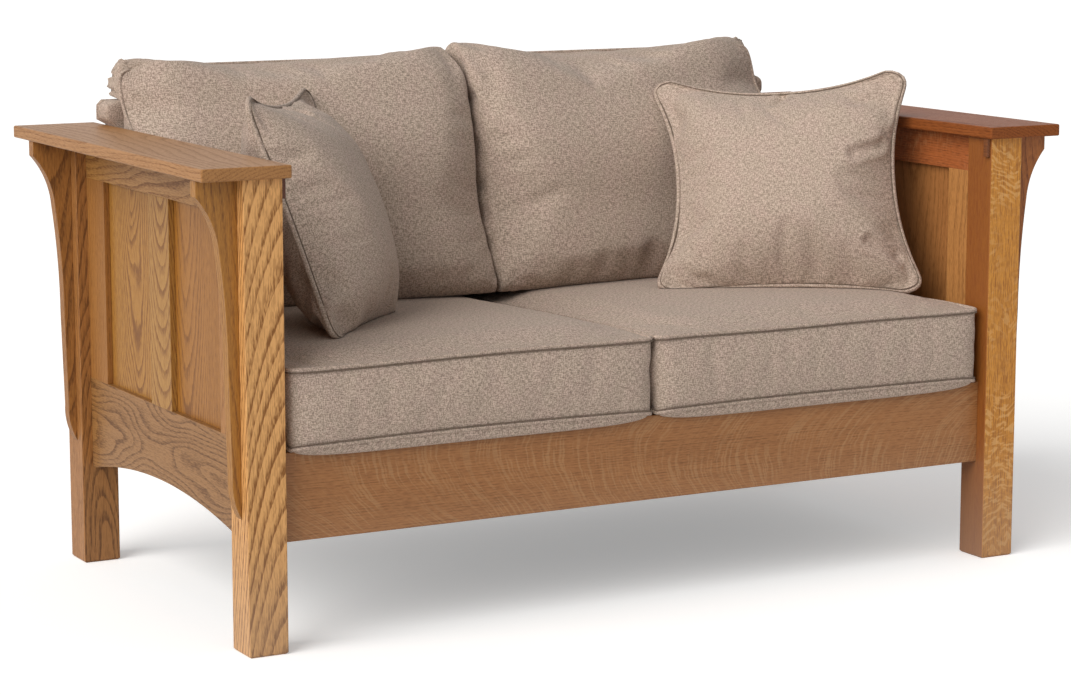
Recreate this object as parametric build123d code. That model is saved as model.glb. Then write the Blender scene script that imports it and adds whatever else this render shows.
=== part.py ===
from build123d import *
import os
from math import cos, radians, sin, tan

# A two-seat oak loveseat with panelled sides, flat arms on long corbels, two loose seat cushions,
# two loose back cushions and two throw pillows. Lengths are millimetres, X runs across the seat
# with the left side negative, Y runs from front to rear and Z is up. While the pieces are made,
# Y is zero at the front faces of the front posts. export() moves everything to the final origin,
# the middle of the floor area that the loveseat covers.

# Posts and arms
inner_width = 1243.0          # clear width between the left and right posts
side_opening = 616.0          # clear depth between the front and rear posts
post_side = 61.0
leg_chamfer = 3.0
edge_ease = 1.2               # radius that the long edges of posts and seat rails are eased to
arm_top = 711.0
arm_thickness = 19.0
arm_width = 138.0
arm_length = 790.0
arm_front_overhang = 12.0
arm_inner_overhang = 10.0
arm_edge_radius = 2.5
arm_cleat_thickness = 6.0
arm_cleat_height = 30.0
arm_cleat_depth = 10.0
arm_cleat_inset = 3.0
dowel_radius = 5.0
dowel_in_post = 24.0
dowel_in_arm = 12.0
dowel_spacing = 28.0

# Panelled side frames
side_thickness = 25.0
side_top_rail_height = 60.0
side_bottom_rail_top = 307.0
side_arch_rise = 32.0
side_arch_flat = 12.0         # straight stretch of the bottom rail beside each post
stile_width = 76.0
muntin_width = 82.0
panel_recess = 9.5
groove_depth = 8.0
panel_slack = 1.0             # room left above and beside a floating panel in its grooves
panel_fit = 0.1

# Front and rear rails, and the joints at the posts
rail_bottom = 160.0
rail_thickness = 25.0
rail_setback = 21.0
front_rail_top = 292.0
back_panel_lift = 2.0         # rear rail's top above the deck at the back panel's face
tenon_thickness = 9.0
tenon_length = 22.0
tenon_shoulder = 12.0
tenon_fit = 0.15

# Corbels
corbel_thickness = 19.0
corbel_projection = 62.5
corbel_length = 491.0
# projection and drop of the outline's points, as shares of corbel_projection and corbel_length
corbel_lip_share = 0.049
corbel_sweep_shares = ((0.66, 0.114), (0.45, 0.214))
corbel_blade_shares = ((0.345, 0.34), (0.27, 0.58))
corbel_foot_share = (0.21, 0.88)
corbel_nose_shares = ((0.15, 0.955), (0.0, 1.0))

# Corner blocks and their bolts
corner_block_reach = 90.0
corner_block_height = 40.0
corner_block_bottom = 178.0
bolt_radius = 4.0
bolt_head_radius = 7.0
bolt_head_height = 5.0
corner_bolt_length = 78.0
bolt_fit = 0.2

# Sprung seat deck
deck_slope = 2.0              # degrees, falling towards the back
spring_rail_width = 32.0
deck_frame_bottom = 224.0
deck_cloth_thickness = 2.0
dust_cover_thickness = 1.5
cloth_margin = 6.0            # the deck's cloths end this far inside the posts and rails
stretcher_width = 25.0
stretcher_height = 28.0
spring_count = 8
spring_wire = 4.0
spring_turn_radius = 14.0
spring_leg = 24.0
spring_spread_share = 0.88    # share of the inner width that the row of springs fills
spring_fit = 0.15
clip_width = 16.0
clip_wall = 1.2
clip_depth = 12.0
deck_screw_count = 5
deck_screw_radius = 2.2
deck_screw_head_radius = 4.5
deck_screw_head_height = 3.0
deck_screw_length = 48.0
deck_screw_spread_share = 0.8
deck_screw_drop = 20.0

# Upholstered back panel
back_top = 752.0
back_front_pad = 15.0
back_top_pad = 12.0
back_end_cloth = 4.0
back_rear_cloth = 5.0
back_edge_radius = 8.0
back_notch_gap = 0.5          # where the back panel is notched around the arms
back_frame_depth = 30.0
back_frame_width = 60.0
webbing_width = 50.0
webbing_thickness = 1.5
webbing_count_per_bay = 4
webbing_row_count = 3
back_bolt_length = 60.0
back_bolt_shares = (0.25, 0.62)   # heights of the bolts as shares of the back panel's height

# Loose cushions and pillows
soft_gap = 0.4                # air left between a soft piece and what it lies against
settling_tolerance = 0.08     # a soft piece is let down until its gap is right to this amount
cushion_arm_gap = 3.5         # each cushion row to the inner edge of an arm
cushion_row_gap = 2.0         # between the left and right cushion
seat_front = 5.0              # seat cushion's front face behind the front posts' faces
seat_boxing_height = 124.0
seat_crown = 19.0
seat_end_crown = 8.0
seat_side_bulge = 3.0
seat_draw_in = 6.0            # how far each long side is pulled in between its corners
seat_back_gap = 4.0
back_cushion_foot = 172.0     # depth where it stands on the seat
back_cushion_height = 406.0
back_cushion_top_depth = 44.0
back_cushion_outer_top_depth = 6.0   # the same at the outer end, where the front falls back
back_cushion_fold = 62.0      # how far the top reaches back over the fixed back
back_cushion_fold_height = 337.0     # underside of that fold above the cushion's foot
back_cushion_crown = 46.0     # the front's bulge at the middle of the cushion
back_cushion_end_crown = 12.0
back_cushion_top_dip = 8.0    # how far the top and front are drawn in at both ends
back_cushion_shoulder = 40.0  # drop from the top to where the front and rear faces begin
pillow_thickness = 128.0
pillow_piping = 7.0
pillow_draw_in = 12.0
pillow_approach = 20.0        # the pillow starts this far off and is moved to its resting place
pillow_lift = 4.0             # it is moved back at this height above the seat, then let down

# Where each pillow's four corners are: across as a share of half the inner width, and depth and
# height above the front rail as shares of the side opening. Each row is lower left, lower right,
# upper right, upper left, as seen from in front of that pillow.
right_pillow_shares = (
    (0.346, 0.596, 0.222),
    (0.944, 0.222, 0.228),
    (0.962, 0.333, 0.806),
    (0.545, 0.965, 0.742),
)
left_pillow_shares = (
    (-0.772, 0.194, 0.228),
    (-0.442, 0.570, 0.216),
    (-0.500, 0.972, 0.762),
    (-0.895, 0.458, 0.784),
)

overrun = 5.0                 # how far cutting tools reach past a face
half_width = inner_width / 2
post_height = arm_top - arm_thickness
rear_post_front = post_side + side_opening
frame_depth = rear_post_front + post_side
side_inner = half_width + (post_side - side_thickness) / 2
side_middle = half_width + post_side / 2
side_top_rail_bottom = post_height - side_top_rail_height
panel_thickness = side_thickness - 2 * panel_recess
front_rail_back = rail_setback + rail_thickness
deck_fall = (rear_post_front - front_rail_back) * tan(radians(deck_slope))
rear_rail_top = front_rail_top - deck_fall + back_panel_lift
rear_rail_front = frame_depth - rail_setback - rail_thickness
front_rail_middle = rail_setback + rail_thickness / 2
rear_rail_middle = frame_depth - rail_setback - rail_thickness / 2
origin_depth = arm_length / 2 - arm_front_overhang
deck_place = Location((0, front_rail_back, front_rail_top), (-deck_slope, 0, 0))


def block(x0, x1, y0, y1, z0, z1):
    """A plain box between two opposite corners."""
    lowest = (Align.MIN, Align.MIN, Align.MIN)
    return Pos(x0, y0, z0) * Box(x1 - x0, y1 - y0, z1 - z0, align=lowest)


def rod(start, direction, radius, length):
    """A round bar from a start point along a direction."""
    standing = (Align.CENTER, Align.CENTER, Align.MIN)
    return Plane(origin=start, z_dir=direction) * Cylinder(radius, length, align=standing)


def opposite(shape):
    """The same piece on the other side of the loveseat."""
    return mirror(shape, about=Plane.YZ)


def side_tenon(bottom, top, grow=0.0):
    """Tenon of a side rail, drawn about the post's middle line and reaching into both posts."""
    half = tenon_thickness / 2 + grow
    y0 = post_side - tenon_length - grow
    y1 = rear_post_front + tenon_length + grow
    z0 = bottom + tenon_shoulder - grow
    z1 = top - tenon_shoulder + grow
    return block(-side_middle - half, -side_middle + half, y0, y1, z0, z1)


def cross_tenon(middle, bottom, top, grow=0.0):
    """Tenon of the front or rear rail, reaching into the left and right posts."""
    half = tenon_thickness / 2 + grow
    reach = half_width + tenon_length + grow
    z0 = bottom + tenon_shoulder - grow
    z1 = top - tenon_shoulder + grow
    return block(-reach, reach, middle - half, middle + half, z0, z1)


def side_rail_heights():
    """Bottom and top of the two rails of a side frame."""
    top_rail = (side_top_rail_bottom, post_height)
    bottom_rail = (rail_bottom + side_arch_rise, side_bottom_rail_top)
    return top_rail, bottom_rail


def dowel_places(post_front):
    """Places of the two dowels that hold an arm on one left post, clear of the side tenon."""
    depth = post_front + post_side / 2
    return [(-side_middle + step * dowel_spacing / 2, depth) for step in (-1, 1)]


def arm_dowel(place, grow=0.0):
    x, y = place
    start = (x, y, post_height - dowel_in_post - grow)
    return rod(start, (0, 0, 1), dowel_radius + grow, dowel_in_post + dowel_in_arm + 2 * grow)


def post_dowels(post_front, grow=0.0):
    return [arm_dowel(place, grow) for place in dowel_places(post_front)]


def left_post(post_front, rail_middle, rail_top):
    """A square post with its mortises, dowel holes, bolt holes and eased foot."""
    x0 = -half_width - post_side
    post = block(x0, -half_width, post_front, post_front + post_side, 0, post_height)
    foot = post.faces().sort_by(Axis.Z)[0]
    post = chamfer(foot.edges(), leg_chamfer)
    post = fillet(post.edges().filter_by(Axis.Z), edge_ease)
    for bottom, top in side_rail_heights():
        post -= side_tenon(bottom, top, tenon_fit)
    post -= cross_tenon(rail_middle, rail_bottom, rail_top, tenon_fit)
    for dowel in post_dowels(post_front, tenon_fit):
        post -= dowel
    post -= corner_bolt(post_front > post_side, bolt_fit)
    if post_front > post_side:
        for bolt in left_back_bolts(bolt_fit):
            post -= bolt
    return post


def left_arm():
    """The flat arm board, with eased edges and blind dowel holes underneath."""
    x1 = -half_width + arm_inner_overhang
    y0 = -arm_front_overhang
    arm = block(x1 - arm_width, x1, y0, y0 + arm_length, post_height, arm_top)
    arm = fillet(arm.edges(), arm_edge_radius)
    for post_front in (0, rear_post_front):
        for dowel in post_dowels(post_front, tenon_fit):
            arm -= dowel
    return arm


def left_arm_cleat():
    """The small upright cleat under the arm's inner edge, at the front of the post's inner face."""
    x0 = -half_width
    y1 = arm_cleat_inset + arm_cleat_depth
    z0 = post_height - arm_cleat_height
    return block(x0, x0 + arm_cleat_thickness, arm_cleat_inset, y1, z0, post_height)


def corbel_point(shares):
    """A point of the corbel's outline, as X outward from the post's outer face and Z."""
    out, drop = shares
    x = -half_width - post_side - out * corbel_projection
    return (x, 0, post_height - drop * corbel_length)


def left_corbel(post_front):
    """Long corbel: a short square lip, a quick hollow sweep, a slim blade and a rounded nose."""
    top_in = corbel_point((0, 0))
    top_out = corbel_point((1, 0))
    lip = corbel_point((1, corbel_lip_share))
    sweep = [corbel_point(shares) for shares in corbel_sweep_shares]
    blade = [corbel_point(shares) for shares in corbel_blade_shares]
    foot = corbel_point(corbel_foot_share)
    nose = [corbel_point(shares) for shares in corbel_nose_shares]
    edges = [
        Line(top_in, top_out),
        Line(top_out, lip),
        ThreePointArc(lip, *sweep),
        ThreePointArc(sweep[-1], *blade),
        Line(blade[-1], foot),
        ThreePointArc(foot, *nose),
        Line(nose[-1], top_in),
    ]
    outline = Face(Wire(edges))
    y0 = post_front + (post_side - corbel_thickness) / 2
    return Pos(0, y0, 0) * extrude(outline, corbel_thickness, dir=(0, 1, 0))


def panel_groove(z0, z1):
    """The groove that takes the panels and the stiles' tongues."""
    half = panel_thickness / 2
    y0 = post_side - overrun
    y1 = rear_post_front + overrun
    return block(-side_middle - half, -side_middle + half, y0, y1, z0, z1)


def left_side_top_rail():
    """The side frame's top rail, grooved along its lower edge."""
    x0 = -side_middle - side_thickness / 2
    z0 = side_top_rail_bottom
    rail = block(x0, x0 + side_thickness, post_side, rear_post_front, z0, post_height)
    rail += side_tenon(z0, post_height)
    return rail - panel_groove(z0 - overrun, z0 + groove_depth)


def side_arch():
    """The tool that hollows the lower edge of a side frame's bottom rail."""
    y0 = post_side + side_arch_flat
    y1 = rear_post_front - side_arch_flat
    middle = ((y0 + y1) / 2, rail_bottom + side_arch_rise)
    low = rail_bottom - overrun
    points = [(0, y0, rail_bottom), (0, middle[0], middle[1]), (0, y1, rail_bottom)]
    edges = [
        ThreePointArc(*points),
        Line(points[2], (0, y1, low)),
        Line((0, y1, low), (0, y0, low)),
        Line((0, y0, low), points[0]),
    ]
    tool = extrude(Face(Wire(edges)), side_thickness + overrun, dir=(1, 0, 0), both=True)
    return Pos(-side_middle, 0, 0) * tool


def left_side_bottom_rail():
    """The side frame's bottom rail, arched below and grooved above."""
    x0 = -side_middle - side_thickness / 2
    top = side_bottom_rail_top
    rail = block(x0, x0 + side_thickness, post_side, rear_post_front, rail_bottom, top)
    rail -= side_arch()
    rail += side_tenon(rail_bottom + side_arch_rise, top)
    return rail - panel_groove(top - groove_depth, top + overrun)


def stile_edges():
    """Front and rear edges of the front stile, the muntin and the rear stile."""
    middle = (post_side + rear_post_front) / 2
    front = (post_side, post_side + stile_width)
    muntin = (middle - muntin_width / 2, middle + muntin_width / 2)
    rear = (rear_post_front - stile_width, rear_post_front)
    return front, muntin, rear


def left_stile(index):
    """An upright of the side frame, with a tongue at each end and a groove beside each panel."""
    y0, y1 = stile_edges()[index]
    z0 = side_bottom_rail_top
    z1 = side_top_rail_bottom
    x0 = -side_middle - side_thickness / 2
    half = panel_thickness / 2
    stile = block(x0, x0 + side_thickness, y0, y1, z0, z1)
    stile += block(-side_middle - half, -side_middle + half, y0, y1,
                   z0 - groove_depth, z1 + groove_depth)
    low = z0 - groove_depth - overrun
    high = z1 + groove_depth + overrun
    if index > 0:
        stile -= block(-side_middle - half, -side_middle + half, y0 - overrun,
                       y0 + groove_depth, low, high)
    if index < 2:
        stile -= block(-side_middle - half, -side_middle + half, y1 - groove_depth,
                       y1 + overrun, low, high)
    return stile


def left_panel(index):
    """A flat panel that floats in the grooves around it."""
    edges = stile_edges()
    y0 = edges[index][1] - groove_depth + panel_slack
    y1 = edges[index + 1][0] + groove_depth - panel_slack
    z0 = side_bottom_rail_top - groove_depth
    z1 = side_top_rail_bottom + groove_depth - panel_slack
    half = panel_thickness / 2 - panel_fit
    return block(-side_middle - half, -side_middle + half, y0, y1, z0, z1)


def cross_rail(front, middle, top):
    """The front or rear rail with its tenons and pilot holes for the deck screws."""
    rail = block(-half_width, half_width, front, front + rail_thickness, rail_bottom, top)
    rail = fillet(rail.edges().filter_by(Axis.X), edge_ease)
    rail += cross_tenon(middle, rail_bottom, top)
    for screw in deck_screws(front > post_side, bolt_fit):
        rail -= screw
    return rail


def corner_corners(at_rear):
    """Plan corners of the left corner block at the front or at the rear."""
    if at_rear:
        rail_face, post_face, step = rear_rail_front, rear_post_front, -1
    else:
        rail_face, post_face, step = front_rail_back, post_side, 1
    return [
        (-half_width, rail_face),
        (-half_width + corner_block_reach, rail_face),
        (-side_inner, post_face + step * corner_block_reach),
        (-side_inner, post_face),
        (-half_width, post_face),
    ]


def corner_bolt(at_rear, grow=0.0):
    """The bolt from the corner block's long face into the post."""
    corners = corner_corners(at_rear)
    start = (Vector(*corners[1]) + Vector(*corners[2])) / 2
    direction = (Vector(*corners[4]) - start).normalized()
    height = corner_block_bottom + corner_block_height / 2
    start = Vector(start.X, start.Y, height)
    bolt = rod(start, direction, bolt_radius + grow, corner_bolt_length + grow)
    head_start = start - direction * bolt_head_height
    return bolt + rod(head_start, direction, bolt_head_radius + grow, bolt_head_height)


def left_corner_block(at_rear):
    corners = corner_corners(at_rear)
    outline = Face(Wire.make_polygon([(x, y, corner_block_bottom) for x, y in corners]))
    piece = extrude(outline, corner_block_height, dir=(0, 0, 1))
    return piece - corner_bolt(at_rear, bolt_fit)


def deck_depth_at(depth):
    """Distance along the sloping deck from the front rail's back to a depth."""
    return (depth - front_rail_back) / cos(radians(deck_slope))


def below_deck(drop):
    """Everything lower than the sloping deck by at least the given drop."""
    reach = inner_width + 2 * post_side
    slab = block(-reach, reach, -reach, reach + side_opening, -reach, -drop)
    return deck_place * slab


def spring_rail_drop():
    return deck_cloth_thickness + spring_fit + clip_wall + spring_wire + spring_fit


def spring_rail(at_rear):
    """Hardwood rail behind the front rail, or before the rear rail, that carries the springs."""
    y0 = rear_rail_front - spring_rail_width if at_rear else front_rail_back
    rail = block(-half_width, half_width, y0, y0 + spring_rail_width,
                 deck_frame_bottom, front_rail_top + overrun)
    rail &= below_deck(spring_rail_drop())
    for screw in deck_screws(at_rear, bolt_fit):
        rail -= screw
    return rail


def left_end_rail():
    """Rail along the inside of a side frame that carries the deck cloth's edge."""
    x0 = -side_inner
    y0 = front_rail_back + spring_rail_width
    y1 = rear_rail_front - spring_rail_width
    rail = block(x0, x0 + spring_rail_width, y0, y1, deck_frame_bottom, front_rail_top + overrun)
    return rail & below_deck(deck_cloth_thickness)


def centre_stretcher():
    """Stretcher under the springs that keeps the two long rails apart."""
    half = stretcher_width / 2
    y0 = front_rail_back + spring_rail_width
    y1 = rear_rail_front - spring_rail_width
    z1 = deck_frame_bottom + stretcher_height
    return block(-half, half, y0, y1, deck_frame_bottom, z1)


def deck_cloth():
    """The cloth over the springs, following the deck's slope."""
    half = half_width - cloth_margin
    start = deck_cloth_thickness * sin(radians(deck_slope)) + spring_fit
    end = deck_depth_at(rear_rail_front) - spring_fit
    return deck_place * block(-half, half, start, end, -deck_cloth_thickness, 0)


def dust_cover():
    """The thin black cloth under the deck frame."""
    half = half_width - cloth_margin
    y0 = front_rail_back + cloth_margin
    y1 = rear_rail_front - cloth_margin
    z1 = deck_frame_bottom
    return block(-half, half, y0, y1, z1 - dust_cover_thickness, z1)


def spring_span():
    """Deck distances of the first and last leg of a spring, on the middles of their rails."""
    first = deck_depth_at(front_rail_back + spring_rail_width / 2)
    last = deck_depth_at(rear_rail_front - spring_rail_width / 2)
    return first, last


def spring_turn_count():
    """Half turns in one spring, an even number that suits the named turn radius."""
    first, last = spring_span()
    return 2 * round((last - first) / (2 * spring_turn_radius) / 2)


def spring_place(index):
    """Where a spring lies across the seat."""
    spread = inner_width * spring_spread_share
    return -spread / 2 + spread * index / (spring_count - 1)


def spring_height():
    return -(spring_rail_drop() - spring_fit - spring_wire / 2)


def seat_spring():
    """One sinuous wire spring: straight legs joined by half turns, each of two quarter arcs."""
    first, last = spring_span()
    turns = spring_turn_count()
    radius = (last - first) / turns / 2
    half = spring_leg / 2
    edges = []
    side = 1
    for turn in range(turns + 1):
        y = first + turn * 2 * radius
        edges.append(Line((-side * half, y, 0), (side * half, y, 0)))
        if turn < turns:
            x = side * half
            bend = radius * sin(radians(45))
            tip = (x + side * radius, y + radius, 0)
            early = (x + side * bend, y + radius - bend, 0)
            late = (x + side * bend, y + radius + bend, 0)
            edges.append(ThreePointArc((x, y, 0), early, tip))
            edges.append(ThreePointArc(tip, late, (x, y + 2 * radius, 0)))
        side = -side
    start = Plane(origin=(-half, first, 0), z_dir=(1, 0, 0))
    wire = sweep(start * Circle(spring_wire / 2), path=Wire(edges))
    print("spring: half turns", turns, "least gap to itself", round(2 * radius - spring_wire, 2))
    return wire


def seat_springs():
    """The whole row of springs."""
    spring = seat_spring()
    places = [Pos(spring_place(index), 0, spring_height()) for index in range(spring_count)]
    return [deck_place * (place * spring) for place in places]


def spring_clip(x, y):
    """A saddle that holds the end leg of a spring down on its rail."""
    top = -deck_cloth_thickness - spring_fit
    bottom = -spring_rail_drop()
    half = clip_width / 2
    clip = block(x - half, x + half, y - clip_depth / 2, y + clip_depth / 2, bottom, top)
    reach = half + overrun
    slot = spring_wire / 2 + spring_fit
    clip -= block(x - reach, x + reach, y - slot, y + slot, bottom - overrun, top - clip_wall)
    return deck_place * clip


def spring_clips():
    return [spring_clip(spring_place(i), y) for i in range(spring_count) for y in spring_span()]


def deck_screws(at_rear, grow=0.0):
    """Screws through a spring rail into the front or rear rail."""
    spread = inner_width * deck_screw_spread_share
    height = deck_frame_bottom + deck_screw_drop
    if at_rear:
        start, step = rear_rail_front - spring_rail_width, 1
    else:
        start, step = front_rail_back + spring_rail_width, -1
    screws = []
    for index in range(deck_screw_count):
        x = -spread / 2 + spread * index / (deck_screw_count - 1)
        direction = (0, step, 0)
        shank = rod((x, start, height), direction, deck_screw_radius + grow,
                    deck_screw_length + grow)
        head = rod((x, start, height), direction, deck_screw_head_radius + grow,
                   deck_screw_head_height + grow)
        screws.append(shank + head)
    return screws


def back_frame_box():
    """Low and high corners of the wooden frame inside the back panel."""
    y0 = rear_post_front + back_front_pad + 2 * webbing_thickness
    half = half_width - back_end_cloth
    return (-half, y0, rear_rail_top), (half, y0 + back_frame_depth, back_top - back_top_pad)


def cut_arm_notches(panel, inset=0.0):
    """Notch both upper ends of the back panel, or of its frame, around the arms."""
    x0 = half_width - arm_inner_overhang - back_notch_gap - inset
    z0 = post_height - back_notch_gap - inset
    y0 = rear_post_front - overrun
    notch = block(x0, half_width + overrun, y0, frame_depth, z0, back_top + overrun)
    return panel - notch - opposite(notch)


def back_rail(at_top):
    """Top or bottom rail of the frame inside the back panel."""
    low, high = back_frame_box()
    z0 = high[2] - back_frame_width if at_top else low[2]
    rail = block(low[0], high[0], low[1], high[1], z0, z0 + back_frame_width)
    return cut_arm_notches(rail, back_end_cloth)


def back_stile(x_middle):
    """Upright of the frame inside the back panel."""
    low, high = back_frame_box()
    x0 = x_middle - back_frame_width / 2
    z0 = low[2] + back_frame_width
    z1 = high[2] - back_frame_width
    stile = block(x0, x0 + back_frame_width, low[1], high[1], z0, z1)
    return stile


def left_back_stile():
    """The end upright, bored for the bolts into the post."""
    low, high = back_frame_box()
    stile = back_stile(low[0] + back_frame_width / 2)
    for bolt in left_back_bolts(bolt_fit):
        stile -= bolt
    return stile


def left_back_bolts(grow=0.0):
    """Bolts from the back panel's end upright into the rear post."""
    low, high = back_frame_box()
    y = (low[1] + high[1]) / 2
    start_x = low[0] + back_frame_width
    bolts = []
    for share in back_bolt_shares:
        z = low[2] + share * (high[2] - low[2])
        length = back_frame_width + back_end_cloth + back_bolt_length / 2
        bolt = rod((start_x, y, z), (-1, 0, 0), bolt_radius + grow, length + grow)
        head = rod((start_x + bolt_head_height, y, z), (-1, 0, 0), bolt_head_radius + grow,
                   bolt_head_height)
        bolts.append(bolt + head)
    return bolts


def back_webbing():
    """Webbing on the front of the back frame: rows across, and uprights in front of them."""
    low, high = back_frame_box()
    y0 = low[1] - webbing_thickness
    straps = []
    height = high[2] - low[2]
    for row in range(webbing_row_count):
        z = low[2] + height * (row + 1) / (webbing_row_count + 1)
        z0 = z - webbing_width / 2
        straps.append(block(low[0], high[0], y0, low[1], z0, z0 + webbing_width))
    columns = 2 * webbing_count_per_bay
    for column in range(columns):
        x = low[0] + (high[0] - low[0]) * (column + 0.5) / columns
        x0 = x - webbing_width / 2
        y1 = y0 - webbing_thickness
        straps.append(block(x0, x0 + webbing_width, y1, y0, low[2], high[2]))
    return straps


def inside_back_cover():
    """Padded cover over the back panel's front, top and ends, open behind and below."""
    low, high = back_frame_box()
    y1 = high[1]
    cover = block(-half_width, half_width, rear_post_front, y1, rear_rail_top, back_top)
    top_edges = cover.edges().filter_by(Axis.X).group_by(Axis.Z)[-1]
    front_top = top_edges.sort_by(Axis.Y)[0]
    cover = fillet(front_top, back_edge_radius)
    cover = cut_arm_notches(cover)
    y0 = rear_post_front + back_front_pad
    z0 = rear_rail_top - overrun
    hollow = block(low[0], high[0], y0, y1 + overrun, z0, high[2])
    cover -= cut_arm_notches(hollow, back_end_cloth)
    for bolt in left_back_bolts(bolt_fit):
        cover -= bolt
        cover -= opposite(bolt)
    return cover


def outside_back_cover():
    """The cloth panel that closes the back from behind."""
    y0 = back_frame_box()[1][1]
    y1 = y0 + back_rear_cloth
    panel = block(-half_width, half_width, y0, y1, rear_rail_top, back_top)
    return cut_arm_notches(panel)


def moved_until_near(piece, support, direction, clearance):
    """Move a piece along a direction until its least gap to the support is the clearance."""
    direction = Vector(*direction).normalized()
    excess = piece.distance_to(support) - clearance
    while excess > settling_tolerance:
        piece = piece.moved(Location(direction * excess))
        excess = piece.distance_to(support) - clearance
    return piece


def cushion_ends():
    """Inner and outer end of the right-hand cushions."""
    return cushion_row_gap / 2, half_width - arm_inner_overhang - cushion_arm_gap


def seat_section(depth, draw, crown):
    """One cross-section of a seat cushion: flat below, bowed sides and a crowned top."""
    x0, x1 = cushion_ends()
    inset = draw + seat_side_bulge
    left, right = x0 + inset, x1 - inset
    top = seat_boxing_height
    edges = [
        Line((left, depth, 0), (right, depth, 0)),
        ThreePointArc((right, depth, 0), (right + seat_side_bulge, depth, top / 2),
                      (right, depth, top)),
        ThreePointArc((right, depth, top), ((left + right) / 2, depth, top + crown),
                      (left, depth, top)),
        ThreePointArc((left, depth, top), (left - seat_side_bulge, depth, top / 2),
                      (left, depth, 0)),
    ]
    return Face(Wire(edges))


def right_seat_cushion():
    """Boxed seat cushion, lofted from front to rear, its sides drawn in at mid length."""
    lean = (seat_boxing_height + seat_crown) * sin(radians(deck_slope))
    start = deck_depth_at(seat_front)
    end = deck_depth_at(rear_post_front - seat_back_gap) - lean
    sections = [
        seat_section(start, 0, seat_end_crown),
        seat_section((start + end) / 2, seat_draw_in, seat_crown),
        seat_section(end, 0, seat_end_crown),
    ]
    return deck_place * (Pos(0, 0, soft_gap) * loft(sections))


def back_section(x, crown, dip, top_depth):
    """One upright section of a back cushion: deep foot, bowed front, and a rounded top that folds
    over the fixed back."""
    rear = rear_post_front - soft_gap
    front = rear - back_cushion_foot + dip
    top = back_cushion_height - dip
    shoulder = top - back_cushion_shoulder
    brow = rear - top_depth
    fold = rear + back_cushion_fold
    crest = (brow + fold) / 2
    bow = Vector(x, (front + brow) / 2 - crown, shoulder / 2)
    edges = [
        Line((x, front, 0), (x, rear, 0)),
        Line((x, rear, 0), (x, rear, back_cushion_fold_height)),
        Line((x, rear, back_cushion_fold_height), (x, fold, back_cushion_fold_height)),
        ThreePointArc((x, fold, back_cushion_fold_height), (x, crest, top), (x, brow, shoulder)),
        ThreePointArc((x, brow, shoulder), bow, (x, front, 0)),
    ]
    return Face(Wire(edges))


def right_back_cushion(seat):
    """Back cushion, lofted from its inner to its outer end and set down on the seat cushion."""
    x0, x1 = cushion_ends()
    inner_top_depth = back_cushion_top_depth + back_cushion_top_dip
    sections = [
        back_section(x0, back_cushion_end_crown, back_cushion_top_dip, inner_top_depth),
        back_section((x0 + x1) / 2, back_cushion_crown, 0, back_cushion_top_depth),
        back_section(x1, back_cushion_end_crown, back_cushion_top_dip, back_cushion_outer_top_depth),
    ]
    start = front_rail_top + seat_boxing_height + seat_crown + overrun
    cushion = Pos(0, 0, start) * loft(sections)
    return moved_until_near(cushion, seat, (0, 0, -1), soft_gap)


def pillow_corner(shares):
    across, depth, height = shares
    x = across * half_width
    return Vector(x, depth * side_opening, front_rail_top + height * side_opening)


def pillow_section(corners, along, fullness):
    """A slim lens across a pillow, from its lower to its upper edge, at a share of its width."""
    low_left, low_right, high_right, high_left = corners
    low = low_left + (low_right - low_left) * along
    high = high_left + (high_right - high_left) * along
    up = (high - low).normalized()
    across = (low_right - low_left + high_right - high_left).normalized()
    outward = across.cross(up).normalized()
    high = high - up * pillow_draw_in * fullness
    middle = (low + high) / 2
    edge = outward * (pillow_piping / 2)
    swell = outward * ((pillow_piping + (pillow_thickness - pillow_piping) * fullness) / 2)
    edges = [
        Line(low - edge, low + edge),
        ThreePointArc(low + edge, middle + swell, high + edge),
        Line(high + edge, high - edge),
        ThreePointArc(high - edge, middle - swell, low - edge),
    ]
    return Face(Wire(edges))


pillow_along_shares = (0.0, 0.18, 0.5, 0.82, 1.0)
pillow_fullness_shares = (0.05, 0.66, 1.0, 0.66, 0.05)


def throw_pillow(corner_shares, seat, back_cushion):
    """Knife-edged pillow, stood on the seat cushion and leant on the back cushion."""
    corners = [pillow_corner(shares) for shares in corner_shares]
    pairs = zip(pillow_along_shares, pillow_fullness_shares)
    sections = [pillow_section(corners, along, fullness) for along, fullness in pairs]
    pillow = loft(sections)
    pillow = Pos(0, -pillow_approach, pillow_approach) * pillow
    pillow = moved_until_near(pillow, seat, (0, 0, -1), pillow_lift)
    pillow = moved_until_near(pillow, back_cushion, (0, 1, 0), pillow_lift)
    pillow = moved_until_near(pillow, seat, (0, 0, -1), soft_gap)
    return moved_until_near(pillow, back_cushion, (0, 1, 0), soft_gap)


def export(name, *solids):
    """Write one named sub-part, moved to the loveseat's own origin."""
    place = Pos(0, -origin_depth, 0)
    moved = [place * solid for solid in solids]
    shape = moved[0] if len(moved) == 1 else Compound(moved)
    export_step(shape, f"parts/{name}.step")


def export_pair(name, left):
    export(f"{name}_left", left)
    export(f"{name}_right", opposite(left))


def both_sides(solids):
    return [*solids, *[opposite(solid) for solid in solids]]


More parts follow.
